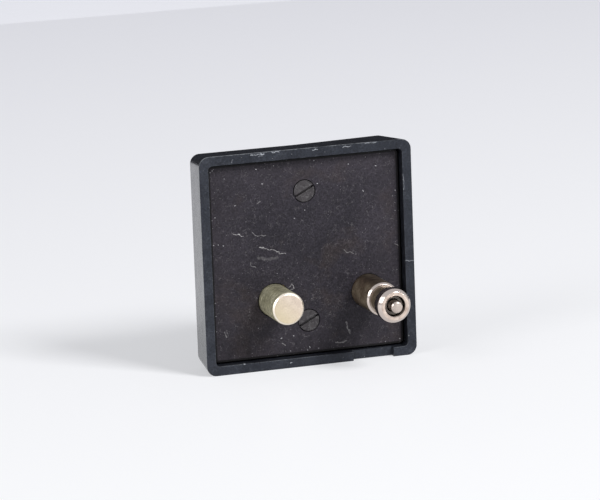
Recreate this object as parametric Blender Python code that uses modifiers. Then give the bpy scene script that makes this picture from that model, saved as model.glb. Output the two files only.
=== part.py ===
"""Plug-in electric shutter release for a motor-driven camera.

A small square moulded case stands on its bottom wall. Its open side faces -Y and is closed
by a recessed plate, held by two flush screws. Two metal pieces stand out of the plate: a
plain guide pin, and a two-pole plug whose centre pin is sprung. The back of the case is
deeper towards +X, where a round button with a cable socket slides in a collar.

Every length is in metres. "Depth" is measured from the plane of the rim towards +Y, so what
stands out in front of the rim has a negative depth. "Height" is measured from the case's
bottom front edge, and x from its middle, to the right as seen from the front.
"""

import math

import bmesh
import bpy
from mathutils import Vector

MM = 0.001

# Clearances
FACE_GAP = 0.3 * MM          # between two faces that meet
ROUND_GAP = 0.2 * MM         # radial, between a round piece and its hole
LEAF_GAP = 0.35 * MM         # round the root of the contact leaf, which rocks a little

# Case
CASE_SIZE = 45.0 * MM        # side of the square rim
CASE_CORNER = 2.05 * MM      # radius of the four long corners
CASE_DEPTH = 9.1 * MM        # depth of the thin half
CASE_DRAFT = 0.084           # all four walls lean in by this much per unit of depth
RAMP_START = 0.0 * MM        # x where the back starts to slope
RAMP_SLOPE = 0.165           # rise of the back per unit of x
BACK_WALL = 1.6 * MM
BACK_EDGE_ROUND = 0.3 * MM
RIM_WIDTH = 1.95 * MM
LEDGE_WIDTH = 1.3 * MM       # the shelf inside the rim that the plate rests on
POCKET_CORNER = 0.8 * MM
NOTCH_WIDTH = 8.7 * MM       # a relief in the bottom rim, below the plug
NOTCH_DEPTH = 1.2 * MM
NOTCH_OFFSET = 0.2 * MM      # its middle lies this far to the right of the plug

# Plate and the screws that hold it
PLATE_RECESS = 1.8 * MM      # depth of its front face
PLATE_THICKNESS = 1.6 * MM
PLATE_MARGIN = 0.4 * MM      # gap to the rim all round
SCREW_SPACING = 26.8 * MM    # centre to centre, on the vertical centre line
SCREW_HEAD_RADIUS = 2.2 * MM
SCREW_HEAD_HEIGHT = 1.2 * MM
SCREW_RADIUS = 1.25 * MM
SCREW_END_GAP = 0.5 * MM     # what is left of its hole past its end
SLOT_WIDTH = 0.42 * MM
SLOT_DEPTH = 0.6 * MM
SLOT_ANGLE = math.radians(27)
INSERT_WALL = 0.45 * MM
BOSS_WALL = 1.0 * MM

# The two pieces that plug into the camera
PIN_HEIGHT = 14.0 * MM
GUIDE_TO_SIDE = 15.4 * MM    # from the guide pin's axis to the left side: a pitch of 20
PLUG_TO_SIDE = 9.6 * MM      # from the plug's axis to the case's right side
GUIDE_RADIUS = 3.35 * MM
GUIDE_LENGTH = 9.15 * MM     # from the plate's face to the tip
GUIDE_CHAMFER = 0.4 * MM
GUIDE_TAIL = 6.0 * MM        # depth of its inner end
NUT_HEIGHT = 1.8 * MM
GUIDE_NUT_FLATS = 8.6 * MM
PLUG_NUT_FLATS = 10.0 * MM

SHANK_RADIUS = 3.45 * MM
SHANK_LENGTH = 9.1 * MM      # from the plate's face to the shoulder
SHOULDER_BEVEL = 0.4 * MM
NECK_RADIUS = 2.7 * MM
NECK_LENGTH = 4.5 * MM
RING_RADIUS = 3.5 * MM
RING_LENGTH = 2.6 * MM
RING_BEVEL = 0.7 * MM
RING_BEVEL_IN = 0.45 * MM
PLUG_BORE = 2.15 * MM
PLUG_TAIL = 6.6 * MM         # depth of the sleeve's inner end

TAG_THICKNESS = 0.3 * MM
TAG_RING_RADIUS = 5.3 * MM
TAG_TAIL_REACH = 7.5 * MM
TAG_TAIL_WIDTH = 1.8 * MM
TAG_ANGLE = math.radians(50)

BUSH_RECESS = 1.2 * MM       # the insulator's front face, behind the ring's face
BUSH_LIP = 3.0 * MM          # length of the narrow front part of its bore
BUSH_WALL = 0.3 * MM
BUSH_FLANGE_RADIUS = 3.2 * MM
BUSH_FLANGE = 0.7 * MM

CONTACT_RADIUS = 1.2 * MM
CONTACT_REACH = 1.3 * MM     # how far the centre pin stands out of the ring's face
CONTACT_CHAMFER = 0.25 * MM
CONTACT_FLANGE = 0.6 * MM
CONTACT_TAIL_RADIUS = 0.6 * MM
CONTACT_TAIL = 6.5 * MM
CONTACT_SPRING_WIRE = 0.3 * MM
CONTACT_SPRING_TURNS = 12

TERMINAL_DEPTH = 4.0 * MM    # where the spring bears on it
TERMINAL_FLANGE_RADIUS = 2.4 * MM
TERMINAL_FLANGE = 0.4 * MM
TERMINAL_LUG = 4.8 * MM
TERMINAL_LUG_WIDTH = 1.6 * MM

# The button on the back, with its collar, bush, plunger and spring
BUTTON_TO_SIDE = 11.0 * MM   # from its axis to the case's right side
BUTTON_TO_TOP = 16.5 * MM
BUTTON_RADIUS = 5.9 * MM
BUTTON_TRAVEL = 1.2 * MM
BUTTON_TOP = 2.3 * MM        # height of its crown above the collar
BUTTON_CROWN = 1.6 * MM      # thickness of its crown
BUTTON_DISH = 0.35 * MM
BUTTON_FLANGE_RADIUS = 6.9 * MM
BUTTON_FLANGE = 0.7 * MM
BUTTON_SKIRT_WALL = 1.1 * MM
BUTTON_POST_RADIUS = 3.2 * MM
SOCKET_MOUTH_RADIUS = 1.95 * MM
SOCKET_END_RADIUS = 1.65 * MM
TURRET_WALL = 1.5 * MM
TURRET_FLOOR_DEPTH = 10.0 * MM
TURRET_FLOOR = 1.3 * MM
COLLAR_FLANGE = 1.0 * MM
COLLAR_SLEEVE = 1.2 * MM
COLLAR_OVERHANG = 0.4 * MM   # the turret stands out past the collar by this much
COLLAR_BEVEL = 0.25 * MM
GUIDE_BUSH_RADIUS = 3.2 * MM
GUIDE_BUSH_FLANGE_RADIUS = 4.5 * MM
GUIDE_BUSH_FLANGE = 0.5 * MM
PLUNGER_HEAD_RADIUS = 2.2 * MM
PLUNGER_HEAD = 0.8 * MM
PLUNGER_RADIUS = 1.3 * MM
BUTTON_SPRING_WIRE = 0.5 * MM
BUTTON_SPRING_TURNS = 3

# The switch, carried on the back of the plate
SWITCH_BASE_WIDTH = 9.8 * MM
SWITCH_BASE_LENGTH = 16.4 * MM
SWITCH_BASE_THICKNESS = 1.0 * MM
SWITCH_MARGIN = 0.95 * MM    # from its upper end to the case's inner wall
STRIP_THICKNESS = 0.3 * MM
STRIP_WIDTH = 3.2 * MM
LEAF_ROOT_LENGTH = 4.0 * MM
LEAF_ROOT_WIDTH = 7.0 * MM
LEAF_SHOULDER = 0.8 * MM     # length of the slope from the root to the blade
LEAF_TIP = 3.5 * MM          # how far it reaches past the plunger
LUG_WIDTH = 1.2 * MM
DOME_RADIUS = 0.8 * MM
DOME_HEIGHT = 0.3 * MM
DOME_OFFSET = 2.1 * MM       # from the plunger's axis
STRIP_MARGIN = 0.6 * MM      # round its rivet's head, and to the end of the base
RIVET_RADIUS = 0.55 * MM
RIVET_HEAD_RADIUS = 1.0 * MM
RIVET_HEAD = 0.3 * MM
RIVET_SPACING = 3.5 * MM
SWITCH_SCREW_RADIUS = 0.6 * MM
SWITCH_SCREW_HEAD_RADIUS = 1.1 * MM
SWITCH_SCREW_HEAD = 0.8 * MM
SWITCH_SCREW_BITE = 0.9 * MM  # how deep it goes into the plate
LEAD_RADIUS = 0.45 * MM
LEAD_STEP = 1.2 * MM

# Fineness
SIDES = 48
SMALL_SIDES = 24
TINY_SIDES = 16
COIL_POINTS = 10

# Worked out from the sizes above
HALF = CASE_SIZE / 2
PLATE_BACK = PLATE_RECESS + PLATE_THICKNESS
LEDGE_DEPTH = PLATE_BACK + FACE_GAP
POCKET_HALF = HALF - RIM_WIDTH
CAVITY_HALF = POCKET_HALF - LEDGE_WIDTH
CAVITY_BACK = CASE_DEPTH - BACK_WALL
SCREW_END = CAVITY_BACK - SCREW_END_GAP
ENDS = ("upper", "lower")
SCREW_HEIGHTS = (HALF + SCREW_SPACING / 2, HALF - SCREW_SPACING / 2)
SIDE_NAMES = ("left", "right")
INSERT_BORE = SCREW_RADIUS + ROUND_GAP
INSERT_RADIUS = INSERT_BORE + INSERT_WALL
BOSS_RADIUS = INSERT_RADIUS + ROUND_GAP + BOSS_WALL
PLUG_X = HALF - PLUG_TO_SIDE
GUIDE_X = GUIDE_TO_SIDE - HALF
BUTTON_X = HALF - BUTTON_TO_SIDE
BUTTON_HEIGHT = CASE_SIZE - BUTTON_TO_TOP

SHOULDER = PLATE_RECESS - SHANK_LENGTH
NECK_BACK = SHOULDER - SHOULDER_BEVEL
NECK_FRONT = NECK_BACK - NECK_LENGTH
RING_FACE = NECK_FRONT - RING_LENGTH
TAG_FRONT = PLATE_BACK + FACE_GAP
PLUG_NUT_FRONT = TAG_FRONT + TAG_THICKNESS + FACE_GAP
BUSH_FRONT = RING_FACE + BUSH_RECESS
BUSH_RADIUS = PLUG_BORE - ROUND_GAP
BUSH_LIP_BORE = CONTACT_RADIUS + ROUND_GAP
BUSH_BORE = BUSH_RADIUS - BUSH_WALL
BUSH_SHOULDER = BUSH_FRONT + BUSH_LIP
BUSH_FLANGE_FRONT = PLUG_TAIL + FACE_GAP
BUSH_BACK = BUSH_FLANGE_FRONT + BUSH_FLANGE
CONTACT_TIP = RING_FACE - CONTACT_REACH
CONTACT_FLANGE_FRONT = BUSH_SHOULDER + FACE_GAP
CONTACT_FLANGE_BACK = CONTACT_FLANGE_FRONT + CONTACT_FLANGE
TERMINAL_FRONT = BUSH_BACK + FACE_GAP

TURRET_FLOOR_INSIDE = TURRET_FLOOR_DEPTH - TURRET_FLOOR
TURRET_BORE = BUTTON_FLANGE_RADIUS + FACE_GAP
TURRET_RADIUS = TURRET_BORE + TURRET_WALL
BUTTON_FLANGE_FRONT = TURRET_FLOOR_DEPTH + FACE_GAP + BUTTON_TRAVEL
SLEEVE_END = BUTTON_FLANGE_FRONT + BUTTON_FLANGE + FACE_GAP
COLLAR_SEAT = SLEEVE_END + COLLAR_SLEEVE
TURRET_TOP = COLLAR_SEAT - FACE_GAP
COLLAR_TOP = COLLAR_SEAT + COLLAR_FLANGE
CROWN_TOP = COLLAR_TOP + BUTTON_TOP
CROWN_UNDERSIDE = CROWN_TOP - BUTTON_CROWN
GUIDE_BUSH_SEAT = TURRET_FLOOR_DEPTH + FACE_GAP
GUIDE_BUSH_TOP = GUIDE_BUSH_SEAT + GUIDE_BUSH_FLANGE
GUIDE_BUSH_BORE = PLUNGER_RADIUS + ROUND_GAP
GUIDE_BUSH_COUNTERBORE = PLUNGER_HEAD_RADIUS + FACE_GAP
GUIDE_BUSH_STEP = TURRET_FLOOR_DEPTH - ROUND_GAP
PLUNGER_HEAD_UNDERSIDE = GUIDE_BUSH_STEP + FACE_GAP + BUTTON_TRAVEL
POST_END = PLUNGER_HEAD_UNDERSIDE + PLUNGER_HEAD + FACE_GAP

SWITCH_TOP = HALF + CAVITY_HALF - SWITCH_MARGIN
SWITCH_BOTTOM = SWITCH_TOP - SWITCH_BASE_LENGTH
BASE_FRONT = PLATE_BACK + FACE_GAP
BASE_BACK = BASE_FRONT + SWITCH_BASE_THICKNESS
FIXED_FRONT = BASE_BACK + FACE_GAP
FIXED_BACK = FIXED_FRONT + STRIP_THICKNESS
FIXED_STRIP_END = SWITCH_BOTTOM + STRIP_MARGIN
LEAF_ARM = SWITCH_TOP - LEAF_ROOT_LENGTH / 2 - 2 * ROUND_GAP - BUTTON_HEIGHT
LEAF_HINGE = BUTTON_HEIGHT + LEAF_ARM
LEAF_TURN = math.asin(BUTTON_TRAVEL / LEAF_ARM)
DOME_SWING = (LEAF_ARM + DOME_OFFSET) * math.sin(LEAF_TURN)
LEAF_FRONT = FIXED_BACK + 2 * DOME_HEIGHT + LEAF_GAP + DOME_SWING
LEAF_BACK = LEAF_FRONT + STRIP_THICKNESS
PLUNGER_END = LEAF_BACK + FACE_GAP

# The part stands with its box centred on the origin
FRONT_REACH = -CONTACT_TIP
RIM_Y = (FRONT_REACH - CROWN_TOP) / 2


def clear_scene():
    for item in list(bpy.data.objects):
        bpy.data.objects.remove(item, do_unlink=True)


def new_collection(name):
    collection = bpy.data.collections.new(name)
    bpy.context.scene.collection.children.link(collection)
    return collection


clear_scene()
PARTS = new_collection("shutter_release")
CUTTERS = new_collection("shutter_release_cutters")
ORIGIN = bpy.data.objects.new("rim_plane", None)
ORIGIN.location = (0, RIM_Y, 0)
PARTS.objects.link(ORIGIN)

REARWARD = -math.pi / 2   # turns a turned piece's own axis to the depth axis
UPRIGHT = math.pi / 2     # stands a flat outline up, facing the front


def material(name, colour, roughness, metallic):
    finish = bpy.data.materials.new(name)
    finish.use_nodes = True
    shader = finish.node_tree.nodes["Principled BSDF"]
    shader.inputs["Base Color"].default_value = (*colour, 1)
    shader.inputs["Roughness"].default_value = roughness
    shader.inputs["Metallic"].default_value = metallic
    finish.diffuse_color = (*colour, 1)
    return finish


BLACK_PLASTIC = ((0.012, 0.014, 0.018), 0.42, 0.0)
PLATE_BLACK = ((0.035, 0.030, 0.034), 0.55, 0.6)
SCREW_BLACK = ((0.060, 0.058, 0.062), 0.45, 0.8)
NICKEL = ((0.66, 0.61, 0.47), 0.32, 1.0)
BRIGHT_NICKEL = ((0.72, 0.66, 0.58), 0.22, 1.0)
BROWN_BRASS = ((0.36, 0.26, 0.17), 0.38, 1.0)
BRASS = ((0.70, 0.52, 0.24), 0.35, 1.0)
BLACK_BUSH = ((0.020, 0.018, 0.018), 0.50, 0.0)
BROWN_BOARD = ((0.22, 0.10, 0.04), 0.60, 0.0)
BRONZE = ((0.62, 0.40, 0.20), 0.30, 1.0)
STEEL = ((0.55, 0.55, 0.56), 0.30, 1.0)
RED_LEAD = ((0.45, 0.03, 0.02), 0.45, 0.0)
BLACK_LEAD = ((0.02, 0.02, 0.02), 0.45, 0.0)


def place(item, name, finish, location=(0, 0, 0), rotation=(0, 0, 0)):
    """Put a piece in the rim's frame, or a cutter if it has no finish."""
    item.name = name
    item.parent = ORIGIN
    item.location = location
    item.rotation_euler = rotation
    if finish is None:
        item.hide_render = True
        item.display_type = "WIRE"
        CUTTERS.objects.link(item)
    else:
        item.data.materials.append(material(name, *finish))
        PARTS.objects.link(item)
    return item


def mesh_object(name, shape):
    """A new object from a bmesh, shaded smooth but for its sharp edges."""
    mesh = bpy.data.meshes.new(name)
    shape.to_mesh(mesh)
    shape.free()
    mesh.shade_smooth()
    mesh.set_sharp_from_angle(angle=math.radians(30))
    return bpy.data.objects.new(name, mesh)


def cut(item, cutter, operation="DIFFERENCE"):
    change = item.modifiers.new(cutter.name, "BOOLEAN")
    change.operation = operation
    change.object = cutter
    change.solver = "EXACT"


def turned(name, finish, profile, x, height, sides=SIDES, ring=False, turn=0.0):
    """A turned piece. The profile holds (radius, depth) points, down its outer side from
    the rear to the front; a ring's profile then comes back up its bore and closes."""
    mesh = bpy.data.meshes.new(name)
    count = len(profile)
    edges = [(i, i + 1) for i in range(count - 1)]
    if ring:
        edges.append((count - 1, 0))
    mesh.from_pydata([(radius, 0, depth) for radius, depth in profile], edges, [])
    item = bpy.data.objects.new(name, mesh)
    screw = item.modifiers.new("turn", "SCREW")
    screw.axis = "Z"
    screw.angle = 2 * math.pi
    screw.steps = sides
    screw.render_steps = sides
    screw.use_merge_vertices = True
    screw.merge_threshold = 0.000001
    screw.use_smooth_shade = True
    return place(item, name, finish, (x, 0, height), (REARWARD, turn, 0))


def solid_profile(outer):
    """Close an outer side to the axis at both ends."""
    return [(0, outer[0][1])] + outer + [(0, outer[-1][1])]


def tube_profile(outer, inner):
    """An outer side from rear to front, and a bore from front to rear."""
    return outer + inner


def cylinder_cutter(name, radius, front, back, x, height, sides=SIDES):
    """Turned by half a side, so that its corners miss those of a round piece it cuts."""
    return turned(name, None, solid_profile([(radius, back), (radius, front)]), x, height,
                  sides, turn=math.pi / sides)


def block(name, finish, x_range, depth_range, height_range, rotation=(0, 0, 0), corner=0.0):
    """A box between two values on each axis, its long corners rounded if corner is set."""
    centre = [sum(pair) / 2 for pair in (x_range, depth_range, height_range)]
    size = [abs(pair[1] - pair[0]) for pair in (x_range, depth_range, height_range)]
    shape = bmesh.new()
    bmesh.ops.create_cube(shape, size=1.0)
    bmesh.ops.scale(shape, vec=size, verts=shape.verts)
    if corner:
        along = [e for e in shape.edges if abs(e.verts[0].co.y - e.verts[1].co.y) > size[1] / 2]
        bmesh.ops.bevel(shape, geom=along, offset=corner, segments=4, profile=0.5,
                        affect="EDGES", material=-1)
    return place(mesh_object(name, shape), name, finish, centre, rotation)


def drafted_block(name, finish, half, corner, front, back, overlap=0.0):
    """A square block whose walls lean in towards the back, and whose back slopes from
    RAMP_START on. It may start a little in front, to meet another cutter."""
    shape = bmesh.new()
    bmesh.ops.create_cube(shape, size=2.0)
    bmesh.ops.bisect_plane(shape, geom=shape.verts[:] + shape.edges[:] + shape.faces[:],
                           plane_co=(RAMP_START / half, 0, 0), plane_no=(1, 0, 0))
    slope_end = (back + RAMP_SLOPE * (half + CASE_DRAFT * front - RAMP_START)) \
        / (1 + RAMP_SLOPE * CASE_DRAFT)
    for vert in shape.verts:
        across, rearward, up = vert.co
        if rearward < 0:
            depth = front - overlap
        elif across > 0.5:
            depth = slope_end
        else:
            depth = back
        inset = CASE_DRAFT * (depth - front)
        x = RAMP_START if abs(across) < 0.5 else math.copysign(half - inset, across)
        vert.co = (x, depth, math.copysign(half - inset, up) + HALF)
    long_edges = [e for e in shape.edges
                  if abs(e.verts[0].co.y - e.verts[1].co.y) > back / 3
                  and min(abs(v.co.x) for v in e.verts) > half / 2]
    bmesh.ops.bevel(shape, geom=long_edges, offset=corner, segments=6, profile=0.5,
                    affect="EDGES", material=-1)
    if finish is not None:
        shape.normal_update()
        back_edges = [e for e in shape.edges
                      if len(e.link_faces) == 2
                      and sum(f.normal.y > 0.8 for f in e.link_faces) == 1]
        bmesh.ops.bevel(shape, geom=back_edges, offset=BACK_EDGE_ROUND, segments=2,
                        profile=0.5, affect="EDGES", material=-1)
    return place(mesh_object(name, shape), name, finish)


def hexagon(name, finish, flats, front, bore, x, height):
    """A hexagon nut with a plain bore, one pair of its flats level."""
    shape = bmesh.new()
    bmesh.ops.create_cone(shape, cap_ends=True, segments=6, radius1=flats / math.sqrt(3),
                          radius2=flats / math.sqrt(3), depth=NUT_HEIGHT)
    nut = place(mesh_object(name, shape), name, finish,
                (x, front + NUT_HEIGHT / 2, height), (UPRIGHT, 0, 0))
    cut(nut, cylinder_cutter(name + "_bore", bore, front - NUT_HEIGHT, front + 2 * NUT_HEIGHT,
                             x, height, SMALL_SIDES))
    return nut


def arc(centre, radius, start, end, count):
    return [(centre[0] + radius * math.cos(start + (end - start) * k / count),
             centre[1] + radius * math.sin(start + (end - start) * k / count))
            for k in range(count + 1)]


def flat_piece(name, finish, loops, front, thickness, x, height):
    """A flat piece, cut from sheet. The first loop is its outline and any others are
    holes, in x and height round the point given. It is a mesh, so it can be cut."""
    curve = bpy.data.curves.new(name, "CURVE")
    curve.dimensions = "2D"
    curve.fill_mode = "BOTH"
    curve.extrude = thickness / 2
    for loop in loops:
        spline = curve.splines.new("POLY")
        spline.points.add(len(loop) - 1)
        for point, (across, up) in zip(spline.points, loop):
            point.co = (across, up, 0, 1)
        spline.use_cyclic_u = True
    outline = bpy.data.objects.new(name, curve)
    bpy.context.scene.collection.objects.link(outline)
    ready = outline.evaluated_get(bpy.context.evaluated_depsgraph_get())
    mesh = bpy.data.meshes.new_from_object(ready)
    bpy.data.objects.remove(outline, do_unlink=True)
    shape = bmesh.new()
    shape.from_mesh(mesh)
    bmesh.ops.remove_doubles(shape, verts=shape.verts, dist=0.000001)
    bmesh.ops.recalc_face_normals(shape, faces=shape.faces)
    bpy.data.meshes.remove(mesh)
    return place(mesh_object(name, shape), name, finish,
                 (x, front + thickness / 2, height), (UPRIGHT, 0, 0))


def coil_points(radius, start, end, turns, wire_size):
    """Points of a helix round the depth axis, from one depth to the other. It leaves off
    at both ends with a straight run as long as the wire is thick."""
    count = turns * COIL_POINTS
    points = []
    for k in range(count + 1):
        angle = 2 * math.pi * k / COIL_POINTS
        points.append((radius * math.cos(angle), start + (end - start) * k / count,
                       radius * math.sin(angle)))
    return ([(radius, start, -wire_size)] + points + [(radius, end, wire_size)])


def least_gap(points, wire):
    """The least space between one turn of a coil and the next, measured on its points."""
    gap = math.inf
    for i, first in enumerate(points):
        for second in points[i + COIL_POINTS // 2:]:
            gap = min(gap, math.dist(first, second) - wire)
    return gap


def smooth_route(knots):
    """Points about LEAD_STEP apart on a smooth curve through the knots."""
    knots = [Vector(k) for k in knots]
    ends = [2 * knots[0] - knots[1]] + knots + [2 * knots[-1] - knots[-2]]
    points = []
    for before, here, there, after in zip(ends, ends[1:], ends[2:], ends[3:]):
        steps = max(2, round((there - here).length / LEAD_STEP))
        for k in range(steps):
            t = k / steps
            points.append(0.5 * (2 * here + (there - before) * t
                                 + (2 * before - 5 * here + 4 * there - after) * t ** 2
                                 + (3 * here - before - 3 * there + after) * t ** 3))
    return points + [knots[-1]]


def wire(name, finish, points, radius, resolution, location=(0, 0, 0)):
    """A round wire along points in the rim's frame."""
    curve = bpy.data.curves.new(name, "CURVE")
    curve.dimensions = "3D"
    curve.bevel_depth = radius
    curve.bevel_resolution = resolution
    curve.use_fill_caps = True
    spline = curve.splines.new("POLY")
    spline.points.add(len(points) - 1)
    for point, place_at in zip(spline.points, points):
        point.co = (*place_at, 1)
    return place(bpy.data.objects.new(name, curve), name, finish, location)


def screw_profile(clearance=0.0):
    """A countersunk screw, flush with the plate. The clearance makes it a cutter."""
    head = SCREW_HEAD_RADIUS + clearance
    shank = SCREW_RADIUS + clearance
    cone_end = PLATE_RECESS + SCREW_HEAD_HEIGHT
    front = PLATE_RECESS - (1 * MM if clearance else 0)
    outer = [(shank, SCREW_END), (shank, cone_end),
             (head, PLATE_RECESS + (SCREW_HEAD_HEIGHT - SCREW_HEAD_RADIUS + SCREW_RADIUS)),
             (head, front)]
    return solid_profile(outer)


def join(item, others):
    """Fuse pieces into one body."""
    for other in others:
        cut(item, other, "UNION")


def case():
    body = drafted_block("case", BLACK_PLASTIC, HALF, CASE_CORNER, 0.0, CASE_DEPTH)
    turret = turned("case_turret", None, solid_profile(
        [(TURRET_RADIUS, TURRET_TOP), (TURRET_RADIUS, CAVITY_BACK + BACK_WALL / 2)]),
        BUTTON_X, BUTTON_HEIGHT)
    join(body, [turret])
    cut(body, block("case_pocket", None, (-POCKET_HALF, POCKET_HALF), (-CASE_DEPTH, LEDGE_DEPTH),
                    (HALF - POCKET_HALF, HALF + POCKET_HALF), corner=POCKET_CORNER))
    cut(body, drafted_block("case_cavity", None, CAVITY_HALF, CASE_CORNER, LEDGE_DEPTH,
                            CAVITY_BACK, overlap=FACE_GAP))
    posts = [cylinder_cutter("case_boss_%d" % i, BOSS_RADIUS, LEDGE_DEPTH, CASE_DEPTH - BACK_WALL / 2,
                             0, height, SMALL_SIDES)
             for i, height in enumerate(SCREW_HEIGHTS)]
    floor = cylinder_cutter("case_floor", TURRET_BORE + TURRET_WALL / 2, TURRET_FLOOR_INSIDE,
                            TURRET_TOP - TURRET_WALL, BUTTON_X, BUTTON_HEIGHT)
    join(body, posts + [floor])
    cut(body, block("case_switch_room", None,
                    (BUTTON_X - LEAF_ROOT_WIDTH / 2 - FACE_GAP, BUTTON_X + LEAF_ROOT_WIDTH / 2),
                    (LEDGE_DEPTH, LEAF_BACK + FACE_GAP + RIVET_HEAD + FACE_GAP),
                    (LEAF_HINGE - LEAF_ROOT_LENGTH / 2 - FACE_GAP,
                     LEAF_HINGE + LEAF_ROOT_LENGTH / 2 + FACE_GAP)))
    for i, height in enumerate(SCREW_HEIGHTS):
        cut(body, cylinder_cutter("case_insert_hole_%d" % i, INSERT_RADIUS + ROUND_GAP,
                                  0, CAVITY_BACK, 0, height, SMALL_SIDES))
    cut(body, cylinder_cutter("case_bore", TURRET_BORE, TURRET_FLOOR_DEPTH, CROWN_TOP,
                              BUTTON_X, BUTTON_HEIGHT))
    cut(body, cylinder_cutter("case_bush_hole", GUIDE_BUSH_RADIUS + ROUND_GAP, LEDGE_DEPTH,
                              CROWN_TOP, BUTTON_X, BUTTON_HEIGHT))
    middle = PLUG_X + NOTCH_OFFSET
    cut(body, block("case_notch", None, (middle - NOTCH_WIDTH / 2, middle + NOTCH_WIDTH / 2),
                    (-CASE_DEPTH, NOTCH_DEPTH), (-CASE_CORNER, RIM_WIDTH + CASE_CORNER)))
    # So many cuts in one body leave open edges with the exact solver.
    for change in body.modifiers:
        change.solver = "MANIFOLD"


def base_plate():
    half = POCKET_HALF - PLATE_MARGIN
    plate = block("base_plate", PLATE_BLACK, (-half, half), (PLATE_RECESS, PLATE_BACK),
                  (HALF - half, HALF + half), corner=POCKET_CORNER)
    for name, radius, x in (("guide", GUIDE_RADIUS + FACE_GAP, GUIDE_X),
                            ("plug", SHANK_RADIUS + ROUND_GAP, PLUG_X)):
        cut(plate, cylinder_cutter("plate_%s_hole" % name, radius, 0, CASE_DEPTH, x, PIN_HEIGHT))
    for i, height in enumerate(SCREW_HEIGHTS):
        cut(plate, turned("plate_countersink_%d" % i, None, screw_profile(ROUND_GAP), 0, height))
    for i, (x, height) in enumerate(switch_screw_places()):
        cut(plate, cylinder_cutter("plate_tapped_hole_%d" % i, SWITCH_SCREW_RADIUS + ROUND_GAP,
                                   PLATE_BACK - SWITCH_SCREW_BITE - ROUND_GAP, CASE_DEPTH,
                                   x, height, TINY_SIDES))


def cover_screws():
    """The two slotted screws that hold the plate."""
    for end, height in zip(ENDS, SCREW_HEIGHTS):
        screw = turned("cover_screw_" + end, SCREW_BLACK, screw_profile(), 0, height)
        cut(screw, block("cover_screw_slot_" + end, None,
                         (-2 * SCREW_HEAD_RADIUS, 2 * SCREW_HEAD_RADIUS),
                         (PLATE_RECESS - SLOT_DEPTH, PLATE_RECESS + SLOT_DEPTH),
                         (height - SLOT_WIDTH / 2, height + SLOT_WIDTH / 2),
                         rotation=(0, -SLOT_ANGLE, 0)))


def threaded_inserts():
    """The brass inserts in the case's two posts."""
    front = LEDGE_DEPTH + FACE_GAP
    back = CAVITY_BACK - FACE_GAP
    profile = tube_profile([(INSERT_RADIUS, back), (INSERT_RADIUS, front)],
                           [(INSERT_BORE, front), (INSERT_BORE, back)])
    for end, height in zip(ENDS, SCREW_HEIGHTS):
        turned("threaded_insert_" + end, BRASS, profile, 0, height, SMALL_SIDES, True)


def guide_pin():
    tip = PLATE_RECESS - GUIDE_LENGTH
    turned("guide_pin", NICKEL, solid_profile(
        [(GUIDE_RADIUS, GUIDE_TAIL), (GUIDE_RADIUS, tip + GUIDE_CHAMFER),
         (GUIDE_RADIUS - GUIDE_CHAMFER, tip)]), GUIDE_X, PIN_HEIGHT)
    hexagon("guide_pin_nut", BRASS, GUIDE_NUT_FLATS, PLATE_BACK + FACE_GAP,
            GUIDE_RADIUS + ROUND_GAP, GUIDE_X, PIN_HEIGHT)


def plug_sleeve():
    outer = [(SHANK_RADIUS, PLUG_TAIL), (SHANK_RADIUS, SHOULDER),
             (SHANK_RADIUS - SHOULDER_BEVEL, SHOULDER - SHOULDER_BEVEL),
             (NECK_RADIUS, NECK_BACK), (NECK_RADIUS, NECK_FRONT), (RING_RADIUS, NECK_FRONT),
             (RING_RADIUS, RING_FACE + RING_BEVEL), (RING_RADIUS - RING_BEVEL_IN, RING_FACE)]
    turned("plug_sleeve", BROWN_BRASS, tube_profile(
        outer, [(PLUG_BORE, RING_FACE), (PLUG_BORE, PLUG_TAIL)]), PLUG_X, PIN_HEIGHT, ring=True)
    hexagon("plug_nut", BRASS, PLUG_NUT_FLATS, PLUG_NUT_FRONT, SHANK_RADIUS + ROUND_GAP,
            PLUG_X, PIN_HEIGHT)


def ground_tag():
    """A solder tag under the plug's nut: a ring with a tail."""
    half_angle = math.asin(TAG_TAIL_WIDTH / 2 / TAG_RING_RADIUS)
    ring = arc((0, 0), TAG_RING_RADIUS, TAG_ANGLE + half_angle,
               TAG_ANGLE + 2 * math.pi - half_angle, 30)
    along = Vector((math.cos(TAG_ANGLE), math.sin(TAG_ANGLE)))
    across = Vector((-along.y, along.x)) * TAG_TAIL_WIDTH / 2
    end = along * TAG_TAIL_REACH
    bore = SHANK_RADIUS + ROUND_GAP
    hole = arc((0, 0), bore, 0, 2 * math.pi * (SMALL_SIDES - 1) / SMALL_SIDES, SMALL_SIDES - 1)
    flat_piece("ground_tag", BRASS, [ring + [tuple(end - across), tuple(end + across)], hole],
               TAG_FRONT, TAG_THICKNESS, PLUG_X, PIN_HEIGHT)


def plug_insulator():
    outer = [(BUSH_FLANGE_RADIUS, BUSH_BACK), (BUSH_FLANGE_RADIUS, BUSH_FLANGE_FRONT),
             (BUSH_RADIUS, BUSH_FLANGE_FRONT), (BUSH_RADIUS, BUSH_FRONT)]
    inner = [(BUSH_LIP_BORE, BUSH_FRONT), (BUSH_LIP_BORE, BUSH_SHOULDER),
             (BUSH_BORE, BUSH_SHOULDER), (BUSH_BORE, BUSH_BACK)]
    turned("plug_insulator", BLACK_BUSH, tube_profile(outer, inner), PLUG_X, PIN_HEIGHT,
           SMALL_SIDES, True)


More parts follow.
